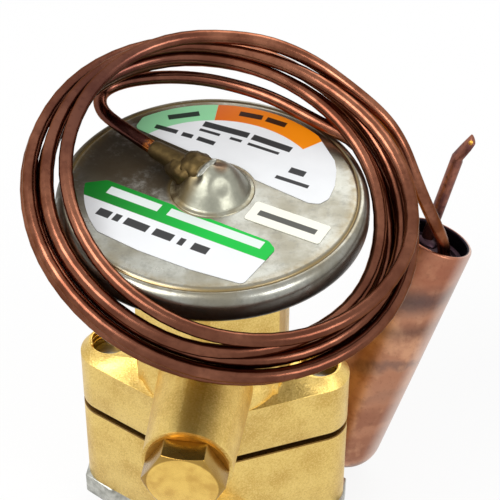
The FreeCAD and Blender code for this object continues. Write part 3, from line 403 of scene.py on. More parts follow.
def tube_copper(settings):
    """Drawn copper tube: darker and purple near its braze, with small dull spots all along."""
    made = Finish("tube_copper", 1.0, 0.26, edge=(0.6, 0.48, 0.42))
    patches = made.noise(9.0, 4.0, 0.62)
    spots = made.noise(0.9, 3.0, 0.65)
    light = settings.copper
    x, y = made.axis_split()[:2]
    # Painted dark reflection on the strands at the front and right of the coil.
    front = (x * 0.5 - y * 0.85).above(14.0, 30.0) * patches.above(0.3, 0.3)
    # Distance from the braze at the socket's mouth.
    start = socket_point(SOCKET_LENGTH) * MM
    near = made.vector("DISTANCE", made.place, start, 1) / MM
    made.feed("Base Color", made.layered(
        light,
        (patches.above(0.5, 0.3) * 0.85, shaded(light, 0.42, 0.34, 0.32)),
        (spots.above(0.6, 0.2) * 0.3, shaded(light, 0.16, 0.14, 0.16)),
        (front * 0.6, shaded(light, 0.32, 0.28, 0.3)),
        (near.below(20.0, 16.0) * 0.85, tone("4a2c2a")),
        (near.below(1.9, 1.0) * spots.above(0.46, 0.16), tone("c87a3c"))))
    made.feed("Roughness", patches * 0.18 + spots * 0.08 + 0.1)
    made.feed("Normal", made.bump(spots * 0.6 + patches * 2.0, 0.02, 0.35))
    return made.material


def bulb_copper(settings):
    """Bulb of drawn copper with grey, red and pale bands across it, painted shade on its left side and
    in its mouth, and a painted highlight along its right side.
    """
    made = Finish("bulb_copper", 1.0, 0.36)
    along = (BULB_MOUTH - BULB_END).normalized()
    offset = made.vector("SUBTRACT", made.place, BULB_END * MM)
    height = made.dot(offset, along / MM)
    across = made.vector("CROSS_PRODUCT", offset, along)
    radius = made.vector("LENGTH", across, (0, 0, 0), 1) / MM
    level = (Vector((1, 0, 0)) - along * along.x).normalized()
    side = made.dot(offset, level / MM)
    cloud = made.noise(8.0, 4.0, 0.6)
    fine = made.noise(0.9, 4.0, 0.65)
    slant = height - side * 0.45 + cloud * 9.0
    bands = made.stripes(slant * 0.13, 1.0, 1.0, 0.4)
    upper_band = (height - 40.0 - side * 0.4).size().below(2.4, 4.6) * cloud.above(0.4, 0.3)
    middle_band = (height - 31.5 - side * 0.4).size().below(1.4, 4.0)
    made.feed("Base Color", made.layered(
        settings.bulb,
        (bands.above(0.5, 0.3) * 0.7, tone("8a5a48")),
        (bands.below(0.4, 0.24) * 0.7, tone("6a5652")),
        (cloud.above(0.55, 0.2) * 0.65, tone("dca884")),
        (height.above(41.0, 10.0) * cloud.above(0.36, 0.2) * 0.6, tone("9a5c46")),
        (upper_band * 0.8, tone("4c4244")),
        (middle_band * 0.55, tone("50413e")),
        (fine.above(0.62, 0.2) * 0.18, tone("3a241c")),
        # painted shade on the left side of the bulb
        (side.below(-3.5, 5.0) * 0.55, tone("6a3c2c")),
        # painted highlight along the right side of the bulb
        (side.above(6.2, 3.6) * 0.6, tone("e4d2c8")),
        # painted shade inside the deep mouth of the bulb
        (radius.below(BULB_RADIUS - 0.6, 0.3) * height.above(20.0, 2.0), tone("241c24"))))
    made.feed("Roughness", cloud * 0.26 + fine * 0.14 + 0.2)
    made.feed("Normal", made.bump(fine * 0.5 + cloud * 3.0, 0.04, 0.4))
    return made.material


def plain(name, light, deep, rough, size=1.5, metallic=0.0):
    """A plain finish with a soft variation."""
    made = Finish(name, metallic, rough)
    patches = made.noise(size, 3.0)
    made.feed("Base Color", made.mixed(patches, light, deep))
    made.feed("Roughness", patches * 0.2 + (rough - 0.1))
    made.feed("Normal", made.bump(patches, 0.03, 0.4))
    return made.material


def paper(name):
    """Printed film whose gloss and white vary a little."""
    made = Finish(name, 0.0, 0.45, level=0.2)
    cloud = made.noise(6.0, 3.0)
    made.feed("Roughness", cloud * 0.14 + 0.38)
    made.feed("Normal", made.bump(made.noise(4.0, 2.0), 0.03, 0.3))
    return made, cloud


def upper_label(settings):
    """White label with a light green and an orange field along its rim and plain bars as print."""
    made, cloud = paper("upper_label_film")
    x, y = made.axis_split()[:2]
    radius = (x * x + y * y) ** 0.5
    white = made.mixed(cloud, settings.label_white, shaded(settings.label_white, 0.9))
    field = radius.above(21.2, 0.14)
    colour = made.mixed(field * x.below(-3.0, 0.14), white, settings.label_pale_green)
    # The orange field ends on a line from the inner to the outer arc.
    reach = (x * 0.669 - y * 0.743).below(-0.45, 0.14)
    orange = made.mixed(x.above(4.0, 22.0), settings.label_rust, settings.label_orange)
    colour = made.mixed(field * x.above(-3.0, 0.14) * reach, colour, orange)
    ink = made.bars([((-12.2, 20.5), (-6.3, 22.7)), ((1.6, 23.9), (6.3, 23.2)),
                     ((7.1, 22.9), (11.2, 21.5))], 1.5)
    ink = ink.most(made.bars([((-4.9, 19.6), (4.4, 17.2)), ((5.2, 16.9), (13.2, 14.0))], 1.7))
    ink = ink.most(made.bars([((-14.2, 17.4), (-9.6, 16.2)), ((-8.6, 15.8), (-6.4, 15.2)),
                              ((-5.4, 14.9), (-1.8, 13.7))], 1.25))
    ink = ink.most(made.bars([((-5.4, 17.7), (-1.2, 16.5)), ((0.9, 15.9), (3.3, 15.2)),
                              ((4.6, 14.7), (11.0, 12.5))], 0.8))
    ink = ink.most(made.bars([((13.7, 8.0), (16.8, 7.0))], 1.7))
    ink = ink.most(made.bars([((11.3, 5.6), (17.9, 3.4))], 1.0))
    made.feed("Base Color", made.mixed(ink * 0.96, colour, settings.label_ink))
    return made.material


def lower_label(settings):
    """White label with a green stripe that carries two pale bars, and darker bars below it."""
    made, cloud = paper("lower_label_film")
    x, y = made.axis_split()[:2]
    down = x * 0.342 + y * 0.94
    white = made.mixed(cloud, settings.label_white, shaded(settings.label_white, 0.9))
    green = made.mixed(x.above(-8.0, 24.0), settings.label_deep_green, settings.label_green)
    pale = made.bars([((-19.4, -3.0), (-8.9, -6.9)), ((-7.0, -7.6), (11.6, -14.4))], 2.1)
    stripe = made.mixed(pale * 0.85, green, settings.label_white)
    colour = made.mixed(down.below(-12.95, 0.14), stripe, white)
    ink = made.bars([((-20.2, -9.3), (-17.6, -10.3)), ((-16.9, -10.5), (-15.6, -11.0)),
                     ((-14.6, -11.3), (-10.0, -13.1)), ((-8.8, -13.5), (-5.0, -14.9)),
                     ((-3.8, -15.4), (-2.7, -15.8)), ((-1.1, -16.4), (2.0, -17.5))], 2.0)
    made.feed("Base Color", made.mixed(ink * 0.96, colour, settings.label_ink))
    return made.material


def batch_label(settings):
    """Cream label with one bar."""
    made, cloud = paper("batch_label_film")
    colour = made.mixed(cloud, settings.label_cream, shaded(settings.label_cream, 0.93))
    ink = made.bars([((9.6, -5.3), (20.9, -9.3))], 1.5)
    made.feed("Base Color", made.mixed(ink * 0.9, colour, settings.label_ink))
    return made.material


# Modelling helpers


def deselect():
    bpy.ops.object.select_all(action="DESELECT")


def activate(piece):
    deselect()
    piece.select_set(True)
    bpy.context.view_layer.objects.active = piece


def started(kind, name, **places):
    """A new primitive, named and alone in the selection."""
    deselect()
    getattr(bpy.ops.mesh, kind)(**places)
    piece = bpy.context.object
    piece.name = name
    return piece


def edit(piece):
    activate(piece)
    bpy.ops.object.mode_set(mode="EDIT")
    bpy.ops.mesh.select_mode(type="VERT")
    bpy.ops.mesh.select_all(action="SELECT")


def leave_edit():
    bpy.ops.object.mode_set(mode="OBJECT")


def settle(piece, matrix=None):
    """Put a piece where it belongs and leave the place in its mesh."""
    activate(piece)
    if matrix:
        piece.matrix_world = matrix
    bpy.ops.object.transform_apply(location=True, rotation=True, scale=True)


def outline(name, points):
    """A chain of edges through points given as radius and height in millimetres."""
    piece = started("primitive_plane_add", name, size=MM)
    edit(piece)
    bpy.ops.mesh.merge(type="CENTER")
    bpy.ops.transform.translate(value=(points[0][0] * MM, 0, points[0][1] * MM))
    for (r0, z0), (r1, z1) in zip(points, points[1:]):
        bpy.ops.mesh.extrude_region_move(
            TRANSFORM_OT_translate={"value": ((r1 - r0) * MM, 0, (z1 - z0) * MM)})
    return piece


def smoothed(piece, angle=32):
    activate(piece)
    bpy.ops.object.shade_smooth_by_angle(angle=math.radians(angle))


def spun(name, points, steps=120, matrix=None, smooth=32):
    """An outline spun round the Z axis."""
    piece = outline(name, points)
    bpy.ops.mesh.select_all(action="SELECT")
    bpy.ops.mesh.spin(steps=steps, angle=math.tau, center=(0, 0, 0), axis=(0, 0, 1))
    bpy.ops.mesh.select_all(action="SELECT")
    bpy.ops.mesh.remove_doubles(threshold=WELD)
    bpy.ops.mesh.normals_make_consistent(inside=False)
    leave_edit()
    settle(piece, matrix)
    smoothed(piece, smooth)
    return piece


def finished_modifier(piece, name, kind, **settings):
    """A modifier that is applied at once."""
    activate(piece)
    modifier = piece.modifiers.new(name, kind)
    for key, value in settings.items():
        setattr(modifier, key, value)
    bpy.ops.object.modifier_apply(modifier=modifier.name)


def bevelled(piece, width, segments=2, angle=34):
    finished_modifier(piece, "edges", "BEVEL", width=width, segments=segments, limit_method="ANGLE",
                      angle_limit=math.radians(angle), use_clamp_overlap=True, loop_slide=True)


def copy_of(node, flat=0.6):
    """A merged copy of a solid's mesh, with its flat faces in one piece each."""
    activate(frame["nodes"][node])
    bpy.ops.object.duplicate()
    piece = bpy.context.object
    piece.name = node + "_dressed"
    bpy.ops.object.parent_clear(type="CLEAR_KEEP_TRANSFORM")
    for key in list(piece.keys()):
        del piece[key]
    edit(piece)
    bpy.ops.mesh.remove_doubles(threshold=WELD)
    bpy.ops.mesh.dissolve_limited(angle_limit=math.radians(flat))
    leave_edit()
    return piece


def curve_through(points, steps=6):
    """Points along a smooth line through the given (radius, height) points."""
    line = [points[0]]
    padded = [points[0]] + list(points) + [points[-1]]
    for four in zip(padded, padded[1:], padded[2:], padded[3:]):
        for step in range(1, steps + 1):
            t = step / steps
            line.append(tuple(
                0.5 * (2 * q + (r - p) * t + (2 * p - 5 * q + 4 * r - s) * t * t
                       + (3 * q - p - 3 * r + s) * t ** 3)
                for p, q, r, s in zip(*four)))
    return line


def arc_points(centre, radius, first, last, steps):
    """Points along an arc between two angles in degrees."""
    turns = [math.radians(first + (last - first) * step / steps) for step in range(steps + 1)]
    return [(centre[0] + radius * math.cos(turn), centre[1] + radius * math.sin(turn))
            for turn in turns]


def ridge(name, root, tip, pitch, turns, bottom, matrix=None):
    """A screw thread: a small triangle wound round the Z axis."""
    middle = pitch / 2
    piece = outline(name, [(root, 0), (tip, middle), (root, pitch * 0.96), (root, 0)])
    bpy.ops.mesh.select_all(action="SELECT")
    bpy.ops.mesh.remove_doubles(threshold=WELD)
    bpy.ops.transform.translate(value=(0, 0, bottom * MM))
    leave_edit()
    steps = int(48 * turns)
    finished_modifier(piece, "thread", "SCREW", angle=math.tau * turns, steps=steps, render_steps=steps,
                      screw_offset=pitch * turns * MM, use_merge_vertices=False)
    edit(piece)
    bpy.ops.mesh.select_all(action="DESELECT")
    bpy.ops.mesh.select_mode(type="EDGE")
    bpy.ops.mesh.select_non_manifold()
    bpy.ops.mesh.fill()
    bpy.ops.mesh.select_all(action="SELECT")
    bpy.ops.mesh.normals_make_consistent(inside=False)
    leave_edit()
    settle(piece, matrix)
    return piece


def lump(name, centre, sizes, wave, grain, matrix=None):
    """A rounded lump of braze with an uneven skin. Sizes are half axes in millimetres."""
    piece = started("primitive_ico_sphere_add", name, subdivisions=4, radius=MM)
    edit(piece)
    bpy.ops.transform.resize(value=sizes)
    leave_edit()
    skin = bpy.data.textures.new(name + "_skin", "CLOUDS")
    skin.noise_scale = grain * MM
    finished_modifier(piece, "skin", "DISPLACE", texture=skin, strength=wave * MM, mid_level=0.5)
    place = Matrix.Translation(Vector(centre) * MM)
    settle(piece, place @ matrix if matrix else place)
    activate(piece)
    bpy.ops.object.shade_smooth()
    return piece


def dent(piece, place, reach, push):
    """Press the skin near a place on the head, given from the head's top in millimetres."""
    edit(piece)
    bpy.ops.mesh.select_all(action="DESELECT")
    leave_edit()
    point = (Vector(place) + Vector((0, 0, HEAD_TOP))) * MM
    nearest = min(piece.data.vertices, key=lambda vertex: (vertex.co - point).length)
    nearest.select = True
    bpy.ops.object.mode_set(mode="EDIT")
    bpy.ops.transform.translate(value=Vector(push) * MM, use_proportional_edit=True,
                                proportional_edit_falloff="SMOOTH", proportional_size=reach * MM)
    leave_edit()


def pinched_tube(name, radius, foot, neck):
    """A short tube from foot to neck, then pressed flat, leaning aside and cut off at a slant."""
    place = lean(neck - foot, foot)
    aside = place.to_3x3().inverted() @ Vector((2.9, 0.8, 4.4))
    length = (neck - foot).length
    piece = started("primitive_circle_add", name, vertices=32, radius=radius * MM, fill_type="NGON")
    edit(piece)
    # Each station: how far it goes on, and how much wider and thicker it gets.
    stations = [((0, 0, length * 0.5), (1.0, 1.0)), ((0, 0, length * 0.5 - 0.4), (0.98, 0.98)),
                ((0.1, 0, 0.7), (1.06, 0.78)), (aside * 0.22, (1.06, 0.66)),
                (aside * 0.35, (0.98, 0.8)), (aside * 0.43, (0.8, 0.9))]
    for move, (wide, thick) in stations:
        bpy.ops.mesh.extrude_region_move(TRANSFORM_OT_translate={"value": Vector(move) * MM})
        bpy.ops.transform.resize(value=(wide, thick, 1.0))
    end = sum((Vector(move) for move, _ in stations), Vector())
    bpy.ops.transform.rotate(value=math.radians(38), orient_axis="Y", center_override=end * MM)
    bpy.ops.mesh.select_all(action="SELECT")
    bpy.ops.mesh.normals_make_consistent(inside=False)
    leave_edit()
    settle(piece, place)
    bevelled(piece, 0.12 * MM)
    smoothed(piece, 36)
    return piece


def dress(piece, finish, replaced=(), body="valve"):
    """Give a new piece its finish and body, and hide the solids that it stands for."""
    piece.data.materials.clear()
    piece.data.materials.append(finish)
    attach(piece, body)
    if replaced:
        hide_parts(*replaced)


def paint(finish, *nodes):
    """Give kept solids a new finish."""
    for node in nodes:
        mesh = frame["nodes"][node].data
        mesh.materials.clear()
        mesh.materials.append(finish)


def lean(direction, place=(0, 0, 0)):
    """Turns +Z towards a direction, at a place in millimetres."""
    turn = Vector(direction).to_track_quat("Z", "Y").to_matrix().to_4x4()
    return Matrix.Translation(Vector(place) * MM) @ turn


def socket_point(distance):
    """A place on the socket's axis, so many millimetres from its start."""
    return SOCKET_START + SOCKET_SIDE * distance


# Settings


def colour_setting(name, description, code):
    return bpy.props.FloatVectorProperty(name=name, description=description, subtype="COLOR", size=3,
                                         min=0.0, max=1.0, default=tone(code))


def length_setting(name, description, default):
    return bpy.props.FloatProperty(name=name, description=description, default=default, min=0.0,
                                   subtype="DISTANCE", unit="LENGTH")


class ValveSettings(bpy.types.PropertyGroup):
    """Sizes and colours of the valve's finishes."""

    casting_edge: length_setting("Casting edge", "Rounding of the forged edges", 0.0005)
    machined_edge: length_setting("Machined edge", "Rounding of the machined edges", 0.00022)
    tube_diameter: length_setting("Tube diameter", "Outer diameter of the capillary", 0.0027)
    thread_pitch: length_setting("Thread pitch", "Pitch of the ear threads", 0.00125)
    brass: colour_setting("Brass", "Forged brass", "e8c976")
    steel: colour_setting("Steel", "Cover of the head", "9a9a92")
    oxide: colour_setting("Oxide", "Dark oxide near the braze", "40321f")
    straw: colour_setting("Straw", "Heat tint", "8a7445")
    copper: colour_setting("Copper", "Capillary", "95614a")
    bulb: colour_setting("Bulb copper", "Sensing bulb", "c08a6c")
    label_white: colour_setting("Label white", "Plain field of the labels", "eceef0")
    label_cream: colour_setting("Label cream", "Small label", "f4f3e4")
    label_green: colour_setting("Label green", "Stripe of the lower label", "00b83e")
    label_deep_green: colour_setting("Label deep green", "Shaded end of the stripe", "007a1e")
    label_pale_green: colour_setting("Label pale green", "First field of the upper label", "93d6a2")
    label_rust: colour_setting("Label rust", "Inner end of the second field", "d2601a")
    label_orange: colour_setting("Label orange", "Outer end of the second field", "f08a0a")
    label_ink: colour_setting("Label ink", "Print", "060608")
    floor: colour_setting("Floor", "Floor and backdrop", "f2f2f2")


def settings_of(context):
    return context.scene.valve_settings


# Pieces


class VALVE_OT_castings(bpy.types.Operator):
    """Two brass castings with rounded edges and threads in the ears"""

    bl_idname = "valve.castings"
    bl_label = "Castings"

    def execute(self, context):
        settings = settings_of(context)
        brass = cast_brass(settings)
        machined = turned_brass(settings)
        for node in ("upper_body", "flange_body"):
            piece = copy_of(node)
            bevelled(piece, settings.casting_edge, 3)
            smoothed(piece, 30)
            dress(piece, brass, [node])
        pitch = settings.thread_pitch / MM
        for side, name in ((-1, "ear_thread_left"), (1, "ear_thread_right")):
            place = Matrix.Translation((EAR_OFFSET * side * MM, 0, 0))
            thread = ridge(name, root=4.0, tip=3.62, pitch=pitch, turns=2.6, bottom=44.8, matrix=place)
            dress(thread, machined)
        return {"FINISHED"}


class VALVE_OT_screws(bpy.types.Operator):
    """Plated hexagon screws from below"""

    bl_idname = "valve.screws"
    bl_label = "Screws"

    def execute(self, context):
        zinc = steel("zinc_plate", tone("c4c4bc"), tone("94948c"), 0.34, 2.0)
        for node in ("flange_screw_left", "flange_screw_right"):
            piece = copy_of(node)
            bevelled(piece, 0.45 * MM)
            smoothed(piece)
            dress(piece, zinc, [node])
        return {"FINISHED"}


class VALVE_OT_head(bpy.types.Operator):
    """Covers of the power head with the rolled rim"""

    bl_idname = "valve.head"
    bl_label = "Power head"

    def execute(self, context):
        settings = settings_of(context)
        finish = cover_steel(settings)
        top = HEAD_TOP
        # From the lower edge over the rolled rim and its groove to the flat top.
        rim = curve_through([(29.2, top - 6.4), (29.8, top - 5.8), (30.0, top - 5.0), (30.0, top - 3.2),
                             (29.86, top - 1.95), (29.42, top - 0.98), (28.8, top - 0.42),
                             (28.3, top - 0.26), (27.95, top - 0.36), (27.75, top - 0.42),
                             (27.5, top - 0.2), (27.1, top - 0.02), (26.6, top)], 4)
        inner = [(3.0, top), (3.0, top - 1.4), (24.8, top - 1.4), (24.8, top - 4.3), (28.5, top - 4.3),
                 (28.5, top - 5.4), (27.6, top - 5.4), (27.6, top - 6.4), (29.2, top - 6.4)]
        cover = spun("head_cover", rim + inner, 180)
        dress(cover, finish, ["head_upper_cover"])
        foot = UNDER_COVER_FOOT
        low = spun("head_under_cover", [
            (11.0, foot), (14.9, foot), (15.35, foot + 0.12), (15.8, foot + 0.5), (20.6, foot + 3.55),
            (25.6, foot + 6.25), (26.6, foot + 6.6), (27.1, foot + 6.95), (27.2, foot + 7.7),
            (28.4, foot + 7.7), (28.4, foot + 8.5), (24.8, foot + 8.5), (14.2, foot + 2.2),
            (11.0, foot + 2.2), (11.0, foot)], 180, smooth=50)
        dress(low, finish, ["head_lower_cover"])
        return {"FINISHED"}


class VALVE_OT_dome(bpy.types.Operator):
    """Dome of the head with its braze and the socket of the capillary"""

    bl_idname = "valve.dome"
    bl_label = "Dome and socket"

    def execute(self, context):
        settings = settings_of(context)
        finish = dome_steel(settings)
        top = HEAD_TOP
        shell = curve_through([(7.3, top + 0.1), (7.1, top + 0.45), (6.65, top + 1.05),
                               (6.0, top + 1.95), (5.1, top + 3.15), (4.0, top + 4.35),
                               (2.8, top + 5.3), (1.6, top + 5.95), (0.7, top + 6.15),
                               (0.0, top + 6.2)], 4)
        dome = spun("dome", [(0, top - 1.4), (3.0, top - 1.4), (3.0, top), (7.3, top)] + shell, 96)
        dent(dome, (2.2, -3.6, 4.0), 2.6, (-0.1, 0.3, -0.25))
        dent(dome, (1.0, 1.4, 6.0), 2.0, (-0.1, 0.1, -0.45))
        dent(dome, (-2.8, -2.6, 4.6), 1.8, (0.3, 0.3, -0.4))
        dress(dome, finish, ["head_dome"])
        ring = spun("dome_braze", curve_through([(8.1, top), (7.95, top + 0.2), (7.65, top + 0.3),
                                                (7.3, top + 0.42), (7.0, top + 0.7)], 4)
                    + [(6.8, top + 0.4), (6.9, top), (8.1, top)], 96)
        dress(ring, finish, ["braze_ring"])
        brown = plain("socket_steel", tone("6a5836"), tone("2a2014"), 0.5, 1.3, 1.0)
        end = SOCKET_LENGTH
        collar = spun("socket", [(1.36, end), (1.36, 0.0), (2.3, 0.0)] + curve_through(
            [(2.3, 2.4), (2.1, 4.6), (1.92, 7.4), (1.82, end - 1.0), (1.66, end - 0.2), (1.36, end)],
            3), 64, lean(SOCKET_SIDE, SOCKET_START))
        dress(collar, brown, ["capillary_socket"])
        turned = Matrix.Rotation(SOCKET_TURN, 4, "Z")
        saddle = lump("socket_saddle", (-5.0, 1.9, top + 2.3), (4.9, 3.3, 3.0), 1.0, 1.5, turned)
        crest = lump("socket_crest", (-2.9, 1.7, top + 3.3), (4.5, 3.5, 2.9), 0.9, 1.6, turned)
        fold = lump("dome_fold", (-1.0, -0.5, top + 5.7), (0.75, 0.6, 2.7), 0.3, 1.2,
                    lean((-2.2, -3.2, -0.9)))
        dress(saddle, brown)
        dress(crest, brown)
        folded = steel("fold_steel", tone("b0b0a8"), tone("84847a"), 0.36, 1.0)
        dress(fold, folded)
        fillet = lump("socket_fillet", socket_point(end - 0.4), (1.62, 1.62, 0.9), 0.3, 0.7,
                      lean(SOCKET_SIDE))
        gold = plain("gold_braze", tone("b0702c"), tone("4a2a1c"), 0.36, 0.8, 1.0)
        dress(fillet, gold)
        return {"FINISHED"}


class VALVE_OT_labels(bpy.types.Operator):
    """Finishes of the three labels"""

    bl_idname = "valve.labels"
    bl_label = "Labels"

    def execute(self, context):
        settings = settings_of(context)
        paint(upper_label(settings), "upper_label")
        paint(lower_label(settings), "lower_label")
        paint(batch_label(settings), "batch_label")
        return {"FINISHED"}


class VALVE_OT_stem(bpy.types.Operator):
    """Seal cap on the boss of the adjusting stem"""

    bl_idname = "valve.stem"
    bl_label = "Stem cap"

    def execute(self, context):
        settings = settings_of(context)
        cap = copy_of("seal_cap")
        # The photograph has one flat of the hexagon on top.
        edit(cap)
        bpy.ops.transform.rotate(value=math.radians(30), orient_axis="Y",
                                 center_override=(0, 0, STEM_HEIGHT * MM))
        leave_edit()
        bevelled(cap, settings.machined_edge)
        smoothed(cap, 30)
        # The cap's hexagon flats get painted shade.
        finish = turned_brass(settings, "cap_brass", flat_shade=0.75)
        dress(cap, finish, ["seal_cap"], "cap")
        return {"FINISHED"}


class VALVE_OT_equalizer(bpy.types.Operator):
    """Rear connection with its thread and flare cone"""

    bl_idname = "valve.equalizer"
    bl_label = "Rear connection"

    def execute(self, context):
        settings = settings_of(context)
        machined = turned_brass(settings)
        fitting = copy_of("equalizer_fitting")
        bevelled(fitting, settings.machined_edge)
        smoothed(fitting, 30)
        dress(fitting, machined, ["equalizer_fitting"])
        place = lean((0, 1, 0), (0, 0, STEM_HEIGHT))
        thread = ridge("rear_thread", root=5.5, tip=5.95, pitch=1.27, turns=7.0, bottom=23.2,
                       matrix=place)
        dress(thread, machined)
        return {"FINISHED"}


class VALVE_OT_bulb(bpy.types.Operator):
    """Sensing bulb, its end plug, the charging stub and their brazes"""

    bl_idname = "valve.bulb"
    bl_label = "Bulb"

    def execute(self, context):
        settings = settings_of(context)
        axis = BULB_MOUTH - BULB_END
        length = axis.length
        inner = BULB_RADIUS - 1.0
        place = lean(axis, BULB_END)
        lip = arc_points((BULB_RADIUS - 0.5, length - 0.5), 0.5, 0, 180, 6)
        shell = spun("bulb", arc_points((0, 0), BULB_RADIUS, -90, 0, 14) + lip
                     + [(inner, length - 2), (inner, 0)] + arc_points((0, 0), inner, 0, -90, 8)[1:],
                     96, place)
        finish = bulb_copper(settings)
        dress(shell, finish, ["bulb_shell"])
        top = length - BULB_RECESS
        plug = spun("bulb_plug", [(0, top - 4.0), (inner, top - 4.0)] + curve_through(
            [(inner, top + 0.5), (inner - 0.5, top + 0.12), (inner - 1.4, top), (0.0, top)], 4),
            96, place)
        # The plug and the brazes round the tube and the stub sit deep in the mouth and are painted
        # nearly black, as painted shade of the recess over a purple tone.
        dark = copper("plug_shade_copper", tone("4c363c"), tone("2a2028"), tone("141014"), 0.34)
        dress(plug, dark, ["bulb_end_plug"])
        stub = pinched_tube("stub", 1.36, STUB_FOOT, STUB_NECK)
        red = copper("stub_copper", tone("9a6450"), tone("5a3a3c"), tone("2a1a1c"), 0.36)
        dress(stub, red, ["charging_stub"])
        gold = plain("gold_solder", tone("e0b04a"), tone("9a5a2c"), 0.3, 0.8, 1.0)
        face = BULB_MOUTH - axis.normalized() * BULB_RECESS
        turn = lean(axis)
        around_tube = lump("tube_braze", (*TUBE_FOOT[-1][:2], face.z - 0.3), (2.5, 2.3, 1.3), 0.5,
                           1.6, turn)
        around_stub = lump("stub_braze", face + Vector((-1.2, 3.9, -0.8)), (2.7, 2.5, 1.4), 0.5,
                           1.6, turn)
        tip = lump("stub_tip", STUB_NECK + Vector((2.5, 0.5, 4.0)), (0.55, 0.5, 0.75), 0.3, 0.6)
        dress(around_tube, dark)
        dress(around_stub, dark)
        dress(tip, gold)
        carried = (shell, plug, stub, around_tube, around_stub, tip)
        context.scene["bulb_pieces"] = [piece.name for piece in carried]
        return {"FINISHED"}


# The capillary, in millimetres from the head's top, as the solids have it.
TUBE_START = [(-22.0, 13.8, 3.1), (-25.4, 17.7, 3.3), (-25.9, 22.1, 3.8), (-21.9, 25.2, 4.5),
              (-14.9, 27.1, 5.0), (-7.0, 28.1, 4.8), (1.1, 27.3, 4.2), (8.6, 25.3, 3.5),
              (17.0, 21.0, 2.3), (28.5, 17.4, -0.5)]
TUBE_END = [(14.0, 28.6, 12.2), (23.2, 28.4, 5.4), (30.3, 26.4, 0.6), (34.2, 24.7, -4.4),
            (36.9, 22.8, -10.0), (39.6, 21.4, -15.8), (42.0, 22.1, -21.8)]
TUBE_FOOT = [(44.4, 28.0, 58.72), (44.5, 29.2, 54.17)]
# The coil's bundle: its centre from the head's top, the radius of its outer strand and its slopes.
COIL_CENTRE = (1.4, -0.8, -3.4)
COIL_RADIUS = 36.1
# The coil is a little oval: what is added at twice the angle.
COIL_OVAL = (0.55, -0.3)
COIL_TILT = 17.0
COIL_ROLL = 11.0
STRAND_PITCH = 2.95
# Turns are counted clockwise from the back.
COIL_START = 0.25
COIL_END = 6.0
POINTS_PER_TURN = 12
# Up to this turn the strand winds round a core, given in strands inwards and up.
CORE_END = 3.75
CORE_CENTRE = (0.42, 0.5)
CORE_RADIUS = 0.7072
CORE_TWIST = 14.25
# Where the last turns lie in the bundle: turn, strands inwards, strands up.
OUTER_TURNS = [(3.75, 1.02, 0.92), (3.875, 1.2, 1.25), (4.0, 1.85, 1.62), (4.25, 2.1, 1.75),
               (4.375, 1.5, 1.95), (4.5, 0.5, 2.1), (4.66, 0.8, 2.1), (4.75, 1.15, 2.15),
               (4.875, 1.05, 2.28), (5.0, 1.35, 2.3), (5.25, 0.1, 2.7), (5.375, 0.9, 3.1),
               (5.5, 1.3, 3.0), (5.66, 2.2, 2.75), (5.75, 2.2, 2.7), (5.833, 1.9, 3.1),
               (5.875, 1.6, 3.4), (6.0, 1.1, 3.4)]


def strand_place(turn):
    """How far inwards and upwards the strand lies in the bundle at this turn."""
    if turn <= CORE_END:
        angle = math.radians(CORE_TWIST - 90.0 * turn)
        return (CORE_CENTRE[0] + CORE_RADIUS * math.cos(angle),
                CORE_CENTRE[1] + CORE_RADIUS * math.sin(angle))
    for (turn_a, in_a, up_a), (turn_b, in_b, up_b) in zip(OUTER_TURNS, OUTER_TURNS[1:]):
        if turn <= turn_b:
            blend = (1 - math.cos(math.pi * (turn - turn_a) / (turn_b - turn_a))) / 2
            return in_a + (in_b - in_a) * blend, up_a + (up_b - up_a) * blend
    return OUTER_TURNS[-1][1:]


def coil_point(turn):
    """A control point of the coil, which stands outside the round that the tube follows."""
    inwards, upwards = strand_place(turn)
    tilt = math.radians(COIL_TILT)
    roll = math.radians(COIL_ROLL)
    across = Vector((math.cos(roll), 0, -math.sin(roll)))
    along = Vector((0, math.cos(tilt), math.sin(tilt)))
    upward = across.cross(along).normalized()
    angle = math.radians(90 - 360 * turn)
    oval = COIL_OVAL[0] * math.cos(2 * angle) + COIL_OVAL[1] * math.sin(2 * angle)
    radius = (COIL_RADIUS + oval - STRAND_PITCH * inwards) / math.cos(math.pi / POINTS_PER_TURN)
    centre = Vector(COIL_CENTRE) + Vector((0, 0, HEAD_TOP))
    return (centre + across * (radius * math.cos(angle)) + along * (radius * math.sin(angle))
            + upward * (STRAND_PITCH * upwards))


def capillary_route():
    """Control points from inside the socket round the coil and down into the bulb."""
    route = [socket_point(SOCKET_LENGTH - 0.6)]
    route += [Vector((x, y, HEAD_TOP + z)) for x, y, z in TUBE_START]
    turns = COIL_END - COIL_START
    count = int(round(turns * POINTS_PER_TURN))
    route += [coil_point(COIL_START + turns * index / count) for index in range(count + 1)]
    route += [Vector((x, y, HEAD_TOP + z)) for x, y, z in TUBE_END]
    return route + [Vector(point) for point in TUBE_FOOT]


class VALVE_OT_capillary(bpy.types.Operator):
    """Coiled capillary from the socket to the bulb"""

    bl_idname = "valve.capillary"
    bl_label = "Capillary"

    def execute(self, context):
        settings = settings_of(context)
        curve = bpy.data.curves.new("capillary", "CURVE")
        curve.dimensions = "3D"
        curve.bevel_depth = settings.tube_diameter / 2
        curve.bevel_resolution = 5
        curve.resolution_u = 5
        curve.use_fill_caps = True
        spline = curve.splines.new("NURBS")
        route = capillary_route()
        spline.points.add(len(route) - 1)
        for point, place in zip(spline.points, route):
            point.co = (*(place * MM), 1.0)
        spline.order_u = 3
        spline.use_endpoint_u = True
        piece = bpy.data.objects.new("capillary", curve)
        context.collection.objects.link(piece)
        dress(piece, tube_copper(settings), ["capillary_tube"])
        return {"FINISHED"}


